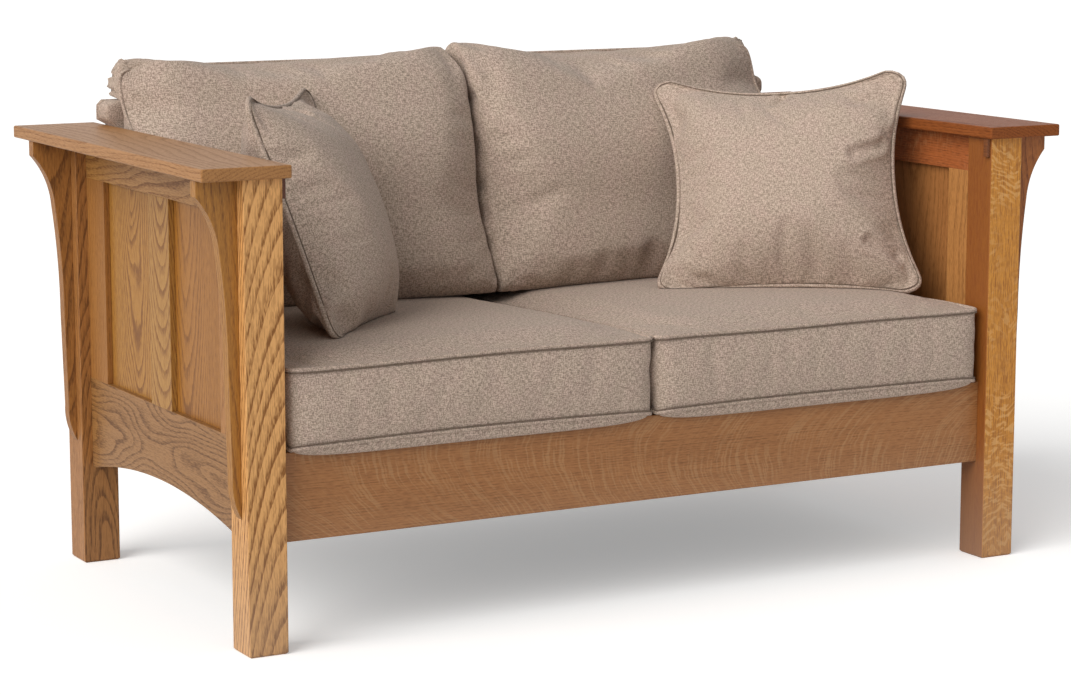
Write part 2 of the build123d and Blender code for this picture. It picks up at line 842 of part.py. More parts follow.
def make_frame():
    front_post = left_post(0, front_rail_middle, front_rail_top)
    rear_post = left_post(rear_post_front, rear_rail_middle, rear_rail_top)
    export_pair("front_post", front_post)
    export_pair("rear_post", rear_post)
    export_pair("arm", left_arm())
    export_pair("arm_cleat", left_arm_cleat())
    export_pair("front_corbel", left_corbel(0))
    export_pair("rear_corbel", left_corbel(rear_post_front))
    export_pair("side_top_rail", left_side_top_rail())
    export_pair("side_bottom_rail", left_side_bottom_rail())
    for index, name in enumerate(("side_front_stile", "side_muntin", "side_rear_stile")):
        export_pair(name, left_stile(index))
    for index, name in enumerate(("side_front_panel", "side_rear_panel")):
        export_pair(name, left_panel(index))
    export("front_rail", cross_rail(rail_setback, front_rail_middle, front_rail_top))
    export("rear_rail", cross_rail(rear_rail_front, rear_rail_middle, rear_rail_top))
    dowels = post_dowels(0) + post_dowels(rear_post_front)
    export("arm_dowels", *both_sides(dowels))
    blocks = [left_corner_block(False), left_corner_block(True)]
    export("corner_blocks", *both_sides(blocks))
    bolts = [corner_bolt(False), corner_bolt(True)]
    export("corner_bolts", *both_sides(bolts))


def make_deck():
    export("spring_rail_front", spring_rail(False))
    export("spring_rail_rear", spring_rail(True))
    export_pair("deck_end_rail", left_end_rail())
    export("centre_stretcher", centre_stretcher())
    export("seat_springs", *seat_springs())
    export("spring_clips", *spring_clips())
    export("deck_screws", *deck_screws(False), *deck_screws(True))
    export("deck_cloth", deck_cloth())
    export("dust_cover", dust_cover())


def make_back():
    export("back_top_rail", back_rail(True))
    export("back_bottom_rail", back_rail(False))
    export_pair("back_stile", left_back_stile())
    export("back_centre_stile", back_stile(0))
    export("back_webbing", *back_webbing())
    export("inside_back_cover", inside_back_cover())
    export("outside_back_cover", outside_back_cover())
    export("back_bolts", *both_sides(left_back_bolts()))


def make_cushions():
    seat = right_seat_cushion()
    back_cushion = right_back_cushion(seat)
    export_pair("seat_cushion", opposite(seat))
    export_pair("back_cushion", opposite(back_cushion))
    export("throw_pillow_right", throw_pillow(right_pillow_shares, seat, back_cushion))
    left_side = (opposite(seat), opposite(back_cushion))
    export("throw_pillow_left", throw_pillow(left_pillow_shares, *left_side))


os.makedirs("parts", exist_ok=True)
make_frame()
make_deck()
make_back()
make_cushions()
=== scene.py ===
# %% [markdown]
# # A two-seat oak settee with loose cushions
# The real piece is a flat-armed oak settee: a frame of square posts, panelled sides and seat rails, a
# deck of springs, and six loose pieces of upholstery. The measured model of all its parts comes in
# first, as a fixed frame. The wooden parts keep their shapes and get finishes, and the soft parts are
# made anew round the space that the model keeps for them.

# %% Load the measured model
import math
import random

import bmesh
import bpy
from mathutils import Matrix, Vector
from mathutils.bvhtree import BVHTree


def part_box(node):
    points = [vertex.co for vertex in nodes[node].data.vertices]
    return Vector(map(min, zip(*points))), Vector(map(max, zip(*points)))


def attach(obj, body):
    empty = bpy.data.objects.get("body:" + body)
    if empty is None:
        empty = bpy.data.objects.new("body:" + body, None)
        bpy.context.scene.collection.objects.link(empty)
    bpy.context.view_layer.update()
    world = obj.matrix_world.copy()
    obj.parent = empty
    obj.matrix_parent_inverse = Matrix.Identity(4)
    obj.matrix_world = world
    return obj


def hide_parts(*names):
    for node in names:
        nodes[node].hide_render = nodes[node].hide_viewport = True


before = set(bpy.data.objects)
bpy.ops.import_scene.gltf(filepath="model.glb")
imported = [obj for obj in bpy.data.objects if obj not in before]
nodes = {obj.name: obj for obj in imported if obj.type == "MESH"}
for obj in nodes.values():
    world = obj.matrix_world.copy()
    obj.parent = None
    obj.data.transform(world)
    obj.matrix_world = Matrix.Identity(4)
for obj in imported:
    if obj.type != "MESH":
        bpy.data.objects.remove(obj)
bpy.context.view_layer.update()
scene = bpy.context.scene
print("parts of the measured model:", len(nodes))

# %% [markdown]
# ## The camera
# The picture was taken from the left, a little above the arms, with a long lens. A camera with no
# shift keeps other views centred. Its place and turn were worked out from the posts, arms and rails.

# %% Place the camera
camera_data = bpy.data.cameras.new("view_from_left")
camera = bpy.data.objects.new("view_from_left", camera_data)
scene.collection.objects.link(camera)
camera_turn = math.radians(28.71)
camera_dip = math.radians(9.2857)
camera.location = (-2.3296, -4.2446, 1.1374)
camera.rotation_euler = (math.pi / 2 - camera_dip, 0, -camera_turn)
camera_data.sensor_width = 36.0
camera_data.lens = 100.68
scene.camera = camera
scene.view_settings.view_transform = "Standard"
print("camera lens in millimetres:", camera_data.lens)

# %% [markdown]
# ## Arithmetic with nodes
# Light and finishes are made of nodes, and much of that is plain arithmetic. Each sign could be added
# by hand as a Math node. A small class does it here, so that a formula can be read as a formula.

# %% Make nodes from formulas
class Value:
    """A value in a node tree. Each sign of arithmetic on it adds one Math node."""

    def __init__(self, tree, socket):
        self.tree = tree
        self.socket = socket

    def __add__(self, other):
        return step(self.tree, "ADD", self, other)

    def __sub__(self, other):
        return step(self.tree, "SUBTRACT", self, other)

    def __rsub__(self, other):
        return step(self.tree, "SUBTRACT", other, self)

    def __mul__(self, other):
        return step(self.tree, "MULTIPLY", self, other)

    def __truediv__(self, other):
        return step(self.tree, "DIVIDE", self, other)

    def __pow__(self, other):
        return step(self.tree, "POWER", self, other)


def feed(tree, sockets, values):
    """Join sockets to values of the tree, or set them to plain numbers and colours."""
    for name, value in values.items():
        if isinstance(value, Value):
            value = value.socket
        if isinstance(value, bpy.types.NodeSocket):
            tree.links.new(value, sockets[name])
        else:
            sockets[name].default_value = value


def put(tree, kind, values=None, **settings):
    """Add a node to a tree, with its settings and with what feeds its sockets."""
    made = tree.nodes.new(kind)
    for name, setting in settings.items():
        setattr(made, name, setting)
    feed(tree, made.inputs, values or {})
    return made


def step(tree, operation, *values):
    """One step of arithmetic."""
    made = put(tree, "ShaderNodeMath", dict(enumerate(values)), operation=operation)
    return Value(tree, made.outputs[0])


print("signs that make a node: + - * / **")

# %% [markdown]
# ## The light
# The shadows in the picture fall softly to the right, so one broad sun stands to the left, and an even
# white sky fills the rest. The sky looks white to the camera and in reflections, at a strength of one.

# %% Light the room
sun_data = bpy.data.lights.new("soft_sun", "SUN")
sun_data.energy = 2.78
sun_data.angle = math.radians(52)
sun_data.color = (1.0, 0.985, 0.96)
sun = bpy.data.objects.new("soft_sun", sun_data)
scene.collection.objects.link(sun)
sun_way = Vector((0.78, 0.265, -0.56))
sun.rotation_euler = sun_way.to_track_quat("-Z", "Y").to_euler()

world = bpy.data.worlds.new("white_studio")
scene.world = world
world.use_nodes = True
sky = world.node_tree
sky.nodes.clear()
rays = put(sky, "ShaderNodeLightPath").outputs
seen = step(sky, "MAXIMUM", rays["Is Camera Ray"], rays["Is Glossy Ray"])
seen = step(sky, "MAXIMUM", seen, rays["Is Transmission Ray"])
fill_light = put(sky, "ShaderNodeBackground", {"Strength": 0.47})
white_wall = put(sky, "ShaderNodeBackground", {"Strength": 1.0})
choice = put(sky, "ShaderNodeMixShader", {0: seen, 1: fill_light.outputs[0], 2: white_wall.outputs[0]})
put(sky, "ShaderNodeOutputWorld", {"Surface": choice.outputs[0]})
print("sun strength:", sun_data.energy)

# %% [markdown]
# ## The floor
# A plain pale floor carries the settee and its shadow. A little of its whiteness is shown to the
# camera alone, so that the paper-white ground of the picture doesn't need more light on the settee.

# %% Lay the floor
bpy.ops.object.select_all(action="DESELECT")
bpy.ops.mesh.primitive_plane_add(size=120, location=(0, 0, 0))
floor = bpy.context.object
floor.name = "studio_floor"
floor_finish = bpy.data.materials.new("pale_floor")
floor_finish.use_nodes = True
tree = floor_finish.node_tree
tree.nodes.clear()
paint = put(tree, "ShaderNodeBsdfDiffuse", {"Color": (0.93, 0.93, 0.93, 1)})
floor_rays = put(tree, "ShaderNodeLightPath").outputs
glow_amount = step(tree, "MULTIPLY", floor_rays["Is Camera Ray"], 0.30)
glow = put(tree, "ShaderNodeEmission", {"Strength": glow_amount})
both = put(tree, "ShaderNodeAddShader", {0: paint.outputs[0], 1: glow.outputs[0]})
put(tree, "ShaderNodeOutputMaterial", {"Surface": both.outputs[0]})
floor.data.materials.append(floor_finish)
print("floor laid")

# %% [markdown]
# ## Tools for patterns
# Every finish here is worked out from a place on the piece. Painted pictures would do too, but a
# formula has no seams and stays sharp from near by. The usual tools are noise, stretched along one
# way for threads and fibres, a curve that sharpens it, and a mixture of two colours.

# %% Make the tools for patterns
def new_group(name, inputs, outputs):
    """An empty node group: its tree, its inputs as values, and the sockets of its end."""
    group = bpy.data.node_groups.new(name, "ShaderNodeTree")
    for label, kind in inputs:
        group.interface.new_socket(label, in_out="INPUT", socket_type=kind)
    for label, kind in outputs:
        group.interface.new_socket(label, in_out="OUTPUT", socket_type=kind)
    start = put(group, "NodeGroupInput").outputs
    given = {label: Value(group, start[label]) for label, kind in inputs}
    return group, given, put(group, "NodeGroupOutput").inputs


def parts_of(tree, vector):
    """The three numbers of a vector."""
    split = put(tree, "ShaderNodeSeparateXYZ", {0: vector})
    return [Value(tree, part) for part in split.outputs]


def joined(tree, parts):
    """A vector from three numbers."""
    return put(tree, "ShaderNodeCombineXYZ", dict(enumerate(parts))).outputs[0]


def noise(tree, parts, stretch=(1, 1, 1), detail=1.0, roughness=0.5, result=0):
    """Soft noise at a place stretched along each axis. Result 0 is its height, 1 its colour."""
    place = joined(tree, [step(tree, "MULTIPLY", part, factor) for part, factor in zip(parts, stretch)])
    values = {"Vector": place, "Scale": 1.0, "Detail": detail, "Roughness": roughness}
    return Value(tree, put(tree, "ShaderNodeTexNoise", values).outputs[result])


def ramp(tree, value, *stops):
    """A curve through (place, height) stops, as a smooth ramp of greys."""
    made = put(tree, "ShaderNodeValToRGB", {0: value})
    bar = made.color_ramp
    bar.interpolation = "EASE"
    while len(bar.elements) < len(stops):
        bar.elements.new(0.5)
    for element, (place, height) in zip(bar.elements, stops):
        element.position = place
        element.color = (height, height, height, 1)
    return Value(tree, made.outputs[0])


def mixed(tree, share, first, second):
    """Two colours mixed."""
    return put(tree, "ShaderNodeMix", {0: share, 6: first, 7: second}, data_type="RGBA").outputs[2]


def new_finish(name):
    """A new finish: its material, its tree and the sockets of its main shader."""
    finish = bpy.data.materials.new(name)
    finish.use_nodes = True
    return finish, finish.node_tree, finish.node_tree.nodes["Principled BSDF"].inputs


def dress(name, finish):
    """Give a part of the measured model its finish."""
    part = nodes[name]
    part.data.materials.clear()
    part.data.materials.append(finish)


FLOAT, COLOUR, VECTOR = "NodeSocketFloat", "NodeSocketColor", "NodeSocketVector"
print("tools for patterns: noise, ramp, mixed")

# %% [markdown]
# ## Oak
# A board is a slice through a tree, and its figure is where the yearly rings meet its faces. So the
# pattern is made as rings round a line, the heart of the tree, which lies near or far from each board
# and wanders a little. A ring starts with a dark band of open pores and ends in pale dense wood. Where
# a board is cut towards the heart, the rays of the tree show as bright flecks across the grain.

# %% Build the rings and pores of oak
# figure is how dark the rings are, fleck how bright the rays, side shade how much painted shade
# darkens the faces that show no rays; the heart leans across the board and tapers away from it; gap,
# drift, bow, slope and length are of the flecks; lengths are in metres
usual_board = dict(
    ring=0.005, figure=0.7, shade=0.0, lean=0.0, taper=0.05, wander=0.03, seed=0.0,
    fleck=0.0, gap=0.009, drift=11.0, bow=0.0, slope=0.0, length=0.013)
oak_inputs = [("board", VECTOR), ("facing", VECTOR), ("light", COLOUR), ("dark", COLOUR)]
oak_inputs += [(label, FLOAT) for label in ("heart_across", "heart_depth", *usual_board)]
oak_outputs = [("Colour", COLOUR), ("Height", FLOAT), ("Sheen", FLOAT)]
oak, given, oak_ends = new_group("oak", oak_inputs, oak_outputs)
across, depth, along = parts_of(oak, given["board"])
seeded = along + given["seed"]
place = (across, depth, seeded)

sway_across, sway_deep, _ = parts_of(oak, noise(oak, place, (7, 7, 2.6), 2.0, result=1))
reach_across = across - given["heart_across"] + (sway_across - 0.5) * given["wander"] + along * given["lean"]
reach_deep = depth - given["heart_depth"] + (sway_deep - 0.5) * given["wander"] + along * given["taper"]
ripple = noise(oak, place, (90, 90, 18), 2.0)
teeth = noise(oak, place, (330, 330, 14))
rough_edge = (ripple - 0.5) * 0.0006 + (teeth - 0.5) * 0.0009
distance = step(oak, "SQRT", reach_across ** 2.0 + reach_deep ** 2.0) + rough_edge

year_change = noise(oak, (distance, given["seed"], 0.5), (46, 1, 1))
ring_place = distance / given["ring"] + year_change * 1.3
ring_number = {"W": step(oak, "FLOOR", ring_place)}
ring_luck = Value(oak, put(oak, "ShaderNodeTexWhiteNoise", ring_number, noise_dimensions="1D").outputs[0])
pore_stops = [(0.0, 0.9), (0.08, 1.0), (0.24, 0.55), (0.46, 0.08), (0.94, 0.0), (1.0, 0.9)]
pore_band = ramp(oak, step(oak, "FRACT", ring_place), *pore_stops)
pore_lines = ramp(oak, noise(oak, place, (640, 640, 80)), (0.42, 0.0), (0.60, 1.0))
figure = pore_band * (ring_luck * 0.55 + 0.62) * (pore_lines * 0.35 + 0.65) * given["figure"]

fibre_tone = noise(oak, place, (430, 430, 13), 2.0) - 0.5
cloud_tone = (noise(oak, place, (22, 22, 2.5), 2.0) - 0.5) * 0.5
darkness = (figure + pore_lines * 0.34) + (fibre_tone + cloud_tone)
darkness.socket.node.use_clamp = True
wood = mixed(oak, darkness, given["light"], given["dark"])
print("oak pattern nodes for rings and pores:", len(oak.nodes))

# %% [markdown]
# ## Rays in oak
# Rays run from the heart outwards. A face that looks along them shows them as ribbons across the
# grain, and a face that cuts them shows none. So each face is asked how far it looks towards the
# heart, and the flecks fade with that. Where a board asks for it, a face that shows no rays is also
# darkened towards the dark colour: this is painted shade.

# %% Add the rays
facing_across, facing_deep, _ = parts_of(oak, given["facing"])
end_on = facing_across * (reach_across / distance) + facing_deep * (reach_deep / distance)
shows_rays = ramp(oak, step(oak, "ABSOLUTE", end_on), (0.30, 1.0), (0.62, 0.0))
bow = (across + along * given["slope"]) ** 2.0
ray_row = (seeded - bow * given["bow"]) / given["gap"]
ray_row = ray_row + noise(oak, place, (13, 13, 6)) * given["drift"] + ripple * 1.6
flakes = noise(oak, (across / given["length"], depth / given["length"], ray_row), detail=1.2)
ray_line = ramp(oak, flakes, (0.50, 0.0), (0.60, 1.0))
ray_edge = ramp(oak, flakes, (0.36, 1.0), (0.45, 0.0))
ray_amount = ramp(oak, noise(oak, place, (14, 14, 10)), (0.34, 0.15), (0.56, 1.0))
flake_share = ray_line * ray_amount * shows_rays * given["fleck"]
edge_share = ray_edge * ray_amount * shows_rays * given["fleck"] * 0.35
# painted shade: faces that show no rays are mixed towards the dark colour, as much as the board asks
wood = mixed(oak, (1.0 - shows_rays) * given["shade"], wood, given["dark"])
wood = mixed(oak, edge_share, wood, given["dark"])
bright = mixed(oak, 0.32, given["light"], (1.0, 0.78, 0.42, 1))
feed(oak, oak_ends, {
    "Colour": mixed(oak, flake_share, wood, bright),
    "Height": 1.0 - (figure * 0.6 + pore_lines * 0.25),
    "Sheen": darkness * 0.16 + 0.40})
print("oak pattern nodes:", len(oak.nodes))

# %% [markdown]
# ## One finish for each board
# No two boards of a settee come from the same place in the tree. Each gets its own heart, ring width
# and tone. The grain runs along the length of the board, so its three directions are named in the
# order across, depth, along. Edges get a painted highlight, a paler colour where they are rounded,
# and the feet are a little greyer from dust and mops.

# %% Make a finish for a board
dust_colour = (0.37, 0.285, 0.22, 1)
dust_height = 0.24


def oak_finish(name, order, middle, heart, light, dark, shine=0.32, dust=0.30, **differences):
    """The finish of one board, which differs from the usual board in the values given."""
    finish, tree, gloss = new_finish(name)
    place = parts_of(tree, put(tree, "ShaderNodeTexCoord").outputs["Object"])
    flat = put(tree, "ShaderNodeNewGeometry").outputs["Normal"]
    facing = parts_of(tree, flat)
    turns = ["xyz".index(letter) for letter in order]
    values = {
        "board": joined(tree, [place[axis] - middle[axis] for axis in turns]),
        "facing": joined(tree, [facing[axis] for axis in turns]),
        "light": (*light, 1), "dark": (*dark, 1), "heart_across": heart[0], "heart_depth": heart[1]}
    values.update(usual_board)
    values.update(differences)
    pattern = put(tree, "ShaderNodeGroup", values, node_tree=oak).outputs
    rounded = put(tree, "ShaderNodeBevel", {"Radius": 0.0022}, samples=4).outputs[0]
    turned = put(tree, "ShaderNodeVectorMath", {0: rounded, 1: flat}, operation="DOT_PRODUCT")
    # painted highlight: edges, where the rounded normal turns from the flat one, are mixed towards a paler
    # colour
    edge_highlight = ramp(tree, turned.outputs["Value"], (0.80, 0.5), (0.985, 0.0))
    edge_highlight_colour = (light[0] * 1.25, light[1] * 1.3, light[2] * 1.5, 1)
    edge_highlighted = mixed(tree, edge_highlight, pattern["Colour"], edge_highlight_colour)
    near_floor = ramp(tree, place[2], (0.0, dust), (dust_height, 0.0))
    relief = put(tree, "ShaderNodeBump", {
        "Strength": 0.35, "Distance": 0.0004, "Height": pattern["Height"], "Normal": rounded})
    feed(tree, gloss, {
        "Base Color": mixed(tree, near_floor, edge_highlighted, dust_colour), "Roughness": pattern["Sheen"],
        "Normal": relief.outputs[0], "Specular IOR Level": shine, "Coat Weight": 0.06,
        "Coat Roughness": 0.3})
    return finish


def middle_of(name):
    low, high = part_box(name)
    return (low + high) / 2


def board(name, order, heart, light, dark, **differences):
    """Finish one board: order of directions, heart (across, depth), light and dark colour."""
    dress(name, oak_finish("oak_" + name, order, middle_of(name), heart, light, dark, **differences))


honey = (0.50, 0.245, 0.068)
amber = (0.37, 0.160, 0.040)
russet = (0.34, 0.105, 0.030)
umber = (0.37, 0.152, 0.046)
brown = (0.36, 0.170, 0.070)
bark = (0.185, 0.072, 0.017)
dark_line = (0.235, 0.090, 0.018)
dark_red = (0.15, 0.040, 0.012)
dark_brown = (0.15, 0.057, 0.014)
print("the usual board:", usual_board)

# %% [markdown]
# ## The posts, arms and brackets
# The left front post is cut across the rings, so they run down it as bands. The right one is cut
# towards the heart on the face that is seen, and shows rays; its inner side, which shows none, is
# darkened as painted shade. The arms are plain sawn, and the right one has darkened more.

# %% Finish the posts, arms and brackets
board("front_post_left", "xyz", (0.050, -0.140), (0.71, 0.37, 0.130), dark_line, ring=0.0074,
      figure=1.1, lean=-0.05, taper=0.14, wander=0.010, seed=3.1)
# painted shade: the side faces of the right front post are darkened towards its dark colour
board("front_post_right", "xyz", (0.30, 0.02), (0.60, 0.255, 0.037), (0.19, 0.050, 0.011), ring=0.004,
      figure=0.25, fleck=0.50, gap=0.0066, drift=15.0, length=0.015, shade=0.82, wander=0.01, seed=8.4)
board("rear_post_left", "xyz", (0.010, -0.09), (0.38, 0.165, 0.046), dark_brown, dust=0.06,
      figure=1.0, taper=0.10, wander=0.035, seed=14.2)
board("rear_post_right", "xyz", (-0.012, -0.08), honey, dark_line, ring=0.0055, figure=0.85,
      taper=0.08, wander=0.035, seed=17.9)
board("arm_left", "xzy", (0.10, -0.30), (0.38, 0.178, 0.057), (0.20, 0.082, 0.022), ring=0.0055,
      taper=0.03, seed=21.0)
board("arm_right", "xzy", (-0.09, -0.25), (0.265, 0.078, 0.020), (0.13, 0.035, 0.009), shine=0.08,
      figure=0.65, taper=0.03, seed=23.7)
board("front_corbel_left", "xyz", (0.15, 0.20), (0.38, 0.170, 0.031), bark, ring=0.006, lean=0.02,
      seed=27.3)
board("front_corbel_right", "xyz", (0.03, 0.06), (0.40, 0.135, 0.030), dark_red, ring=0.0055, seed=29.9)
board("rear_corbel_left", "xyz", (0.0, 0.07), amber, dark_brown, ring=0.0056, figure=1.0, taper=0.07,
      seed=32.5)
board("rear_corbel_right", "xyz", (0.0, 0.07), amber, bark, ring=0.0065, figure=0.8, seed=35.1)
board("arm_cleat_left", "xzy", (0.1, 0.1), (0.12, 0.042, 0.024), (0.06, 0.018, 0.010), ring=0.004,
      figure=0.5, seed=80.1)
board("arm_cleat_right", "xzy", (0.1, 0.1), (0.20, 0.066, 0.020), (0.09, 0.028, 0.010), ring=0.004,
      figure=0.5, seed=82.6)
print("posts, arms and brackets finished: 12")

# %% [markdown]
# ## The side frames and the seat rails
# Each side is a frame of stiles and rails round two broad panels. The panels and the lower rail are
# plain sawn, with the arches that this gives. The front seat rail is cut towards the heart, so that
# long flecks bow across it.

# %% Finish the side frames and the seat rails
board("side_top_rail_left", "zxy", (0.05, 0.20), (0.40, 0.195, 0.052), bark, ring=0.0036, figure=1.0,
      taper=0.03, seed=38.8)
board("side_top_rail_right", "zxy", (0.30, 0.02), (0.39, 0.113, 0.031), dark_red, ring=0.004,
      figure=0.40, fleck=0.22, gap=0.0040, drift=14.0, length=0.014, seed=41.3)
board("side_bottom_rail_left", "zxy", (0.004, 0.085), (0.285, 0.135, 0.040), (0.11, 0.043, 0.011),
      figure=1.0, taper=0.02, wander=0.085, seed=44.6)
board("side_bottom_rail_right", "zxy", (0.004, -0.085), amber, bark, ring=0.0065, figure=0.85,
      taper=0.02, wander=0.085, seed=47.2)
board("side_front_stile_left", "yxz", (0.06, 0.15), amber, bark, figure=0.55, seed=51.1)
board("side_front_stile_right", "yxz", (0.06, 0.15), (0.45, 0.200, 0.060), bark, figure=0.5, seed=52.8)
board("side_muntin_left", "yxz", (-0.012, 0.07), (0.39, 0.196, 0.042), bark, ring=0.0042, figure=1.1,
      taper=0.14, wander=0.02, seed=55.4)
board("side_muntin_right", "yxz", (-0.012, -0.07), (0.44, 0.20, 0.06), bark, ring=0.0045,
      taper=-0.14, wander=0.02, seed=57.7)
board("side_rear_stile_left", "yxz", (0.12, 0.10), (0.33, 0.140, 0.033), bark, ring=0.0048,
      figure=0.75, wander=0.05, seed=60.2)
board("side_rear_stile_right", "yxz", (0.12, 0.10), russet, dark_red, ring=0.0048, figure=0.5, seed=61.6)
board("side_front_panel_left", "yxz", (0.055, 0.13), (0.335, 0.137, 0.019), bark, ring=0.0033,
      figure=1.1, wander=0.02, seed=64.9)
board("side_front_panel_right", "yxz", (0.02, 0.13), umber, bark, ring=0.0052, figure=0.6,
      wander=0.02, seed=66.0)
board("side_rear_panel_left", "yxz", (-0.012, 0.050), (0.38, 0.177, 0.031), bark, ring=0.0041,
      figure=1.1, taper=0.09, wander=0.055, seed=69.3)
board("side_rear_panel_right", "yxz", (-0.012, -0.050), umber, bark, ring=0.0047, figure=0.8,
      taper=0.09, wander=0.055, seed=70.5)
board("front_rail", "zyx", (0.32, 0.04), (0.36, 0.155, 0.053), (0.19, 0.074, 0.023), ring=0.0042,
      figure=0.45, fleck=0.20, gap=0.0042, drift=9.0, bow=6.5, slope=0.13, length=0.055, wander=0.01,
      seed=74.4)
board("rear_rail", "zyx", (0.01, 0.09), brown, bark, ring=0.006, figure=0.8, taper=0.03, seed=77.7)
print("boards of the sides and the seat finished: 16")

# %% [markdown]
# ## Hidden wood
# The frame under the cushions is plain pale hardwood, sawn and left bare. The oak pattern with weak
# rings serves for it too.

# %% Finish the hidden wood
bare = (0.60, 0.45, 0.28)
bare_dark = (0.40, 0.26, 0.13)
hidden_wood = {
    "corner_blocks": "xzy", "deck_end_rail_left": "zxy", "deck_end_rail_right": "zxy",
    "spring_rail_front": "zyx", "spring_rail_rear": "zyx", "centre_stretcher": "zxy",
    "back_top_rail": "zyx", "back_bottom_rail": "zyx", "back_stile_left": "xyz",
    "back_stile_right": "xyz", "back_centre_stile": "xyz", "arm_dowels": "xyz",
}
for count, (name, order) in enumerate(hidden_wood.items()):
    finish = oak_finish("hardwood_" + name, order, middle_of(name), (0.02, 0.16), bare, bare_dark,
                        ring=0.006, figure=0.35, seed=100 + 2.3 * count)
    dress(name, finish)
print("hidden boards finished:", len(hidden_wood))

# %% [markdown]
# ## Steel
# The springs, clips, bolts and screws are drawn and rolled steel, so they show fine lines along their
# length and dull patches. Two strengths of noise make both.

# %% Finish the steel
def steel_finish(name, light, dark, rough):
    finish, tree, gloss = new_finish(name)
    place = parts_of(tree, put(tree, "ShaderNodeTexCoord").outputs["Object"])
    lines = noise(tree, place, (900, 60, 900), 2.0)
    patches = noise(tree, place, (35, 35, 35), 3.0)
    tone = ramp(tree, lines * 0.5 + patches * 0.6, (0.35, 0.0), (0.75, 1.0))
    feed(tree, gloss, {
        "Base Color": mixed(tree, tone, (*dark, 1), (*light, 1)), "Roughness": patches * 0.3 + rough,
        "Metallic": 1.0})
    return finish


spring_steel = steel_finish("drawn_spring_steel", (0.42, 0.42, 0.43), (0.20, 0.20, 0.21), 0.25)
plated_steel = steel_finish("plated_steel", (0.66, 0.64, 0.58), (0.42, 0.40, 0.36), 0.2)
for name in ("seat_springs", "spring_clips"):
    dress(name, spring_steel)
for name in ("deck_screws", "corner_bolts", "back_bolts"):
    dress(name, plated_steel)
print("steel parts finished: 5")

# %% [markdown]
# ## Linen
# The cover is a plain weave of uneven yarn. Seen from a step away it is a soft mixture of pale and
# dark threads, warmer in some places and greener in others. The pattern follows the cloth: each soft
# piece carries a map called weave, which is laid out in metres along its warp and weft.

# %% Build the weave pattern once, for all cloth
cloth_inputs = [("cloth", VECTOR), ("pale", COLOUR), ("deep", COLOUR), ("thread", FLOAT)]
weave, given, weave_ends = new_group("plain_weave", cloth_inputs, [("Colour", COLOUR), ("Height", FLOAT)])
place = parts_of(weave, given["cloth"])
warp, weft, _ = place
slubs = noise(weave, place, (600, 150, 600)) + noise(weave, place, (140, 600, 600))
heather = (slubs + noise(weave, place, (540, 540, 540), 1.0, 0.6) * 1.2) / 3.2
threads = ramp(weave, heather, (0.395, 0.0), (0.605, 1.0))
cloth_tone = mixed(weave, threads, given["deep"], given["pale"])
rosy = ramp(weave, noise(weave, place, (26, 20, 26), 2.0), (0.42, 0.0), (0.62, 1.0))
olive_tone = mixed(weave, 0.05, cloth_tone, (0.40, 0.37, 0.22, 1))
rosy_tone = mixed(weave, 0.05, cloth_tone, (0.56, 0.33, 0.29, 1))
thread_turns = step(weave, "DIVIDE", 2 * math.pi, given["thread"])
basket = step(weave, "SINE", warp * thread_turns) * step(weave, "SINE", weft * thread_turns)
feed(weave, weave_ends, {
    "Colour": mixed(weave, rosy, olive_tone, rosy_tone), "Height": basket * 0.5 + heather})
print("weave pattern nodes:", len(weave.nodes))

# %% [markdown]
# ## Five cloths
# The linen of the cushions, the same linen darkened as painted shade for the grooves beside the
# piping, the cotton of the deck, the black cloth against dust, and jute webbing differ in colour,
# thread and roughness alone, so one function makes them all.

# %% Make the finishes of the cloths
def cloth_finish(name, pale, deep, thread=0.0013, rough=0.92, fuzz=0.12, mapped=True):
    """A cloth; where it isn't mapped, its pattern lies in the object's own coordinates."""
    finish, tree, gloss = new_finish(name)
    if mapped:
        place = put(tree, "ShaderNodeUVMap", uv_map="weave").outputs["UV"]
    else:
        place = put(tree, "ShaderNodeTexCoord").outputs["Object"]
    values = {"cloth": place, "pale": (*pale, 1), "deep": (*deep, 1), "thread": thread}
    pattern = put(tree, "ShaderNodeGroup", values, node_tree=weave).outputs
    relief = put(tree, "ShaderNodeBump", {"Strength": 0.55, "Distance": 0.00028, "Height": pattern["Height"]})
    feed(tree, gloss, {
        "Base Color": pattern["Colour"], "Normal": relief.outputs[0], "Roughness": rough,
        "Specular IOR Level": 0.2, "Sheen Weight": fuzz, "Sheen Roughness": 0.5})
    return finish


linen = cloth_finish("heather_linen", (0.618, 0.482, 0.394), (0.250, 0.186, 0.146))
# painted shade: a dark linen for the cords that stand for the shaded grooves beside the piping
seam_shade_linen = cloth_finish("linen_painted_seam_shade", (0.195, 0.140, 0.104), (0.110, 0.078, 0.057))
deck_linen = cloth_finish("deck_cotton", (0.42, 0.34, 0.27), (0.27, 0.21, 0.165), 0.0016)
dust_cloth = cloth_finish("black_dust_cloth", (0.030, 0.030, 0.032), (0.010, 0.010, 0.011), 0.0012,
                          rough=0.85, fuzz=0.05)
jute = cloth_finish("jute_webbing", (0.50, 0.36, 0.20), (0.30, 0.20, 0.10), 0.0032, mapped=False)
dress("back_webbing", jute)
print("cloth finishes made: 5")

# %% [markdown]
# ## How the soft pieces are made
# A cushion is a closed block of cloth. It starts as a grid of squares over all six sides, placed by
# three shares: across, depth and height. A primitive could be cut and pulled into the same shape, but
# the grid keeps every row where a seam needs it.

# %% Make a block of cloth
def new_shape():
    """An empty shape with a weave map."""
    shape = bmesh.new()
    shape.loops.layers.uv.new("weave")
    return shape


def add_square(shape, corners, spots):
    """One square of cloth between four points, with their places on the weave map."""
    face = shape.faces.new(corners)
    face.smooth = True
    weave_map = shape.loops.layers.uv["weave"]
    for loop, spot in zip(face.loops, spots):
        loop[weave_map].uv = spot


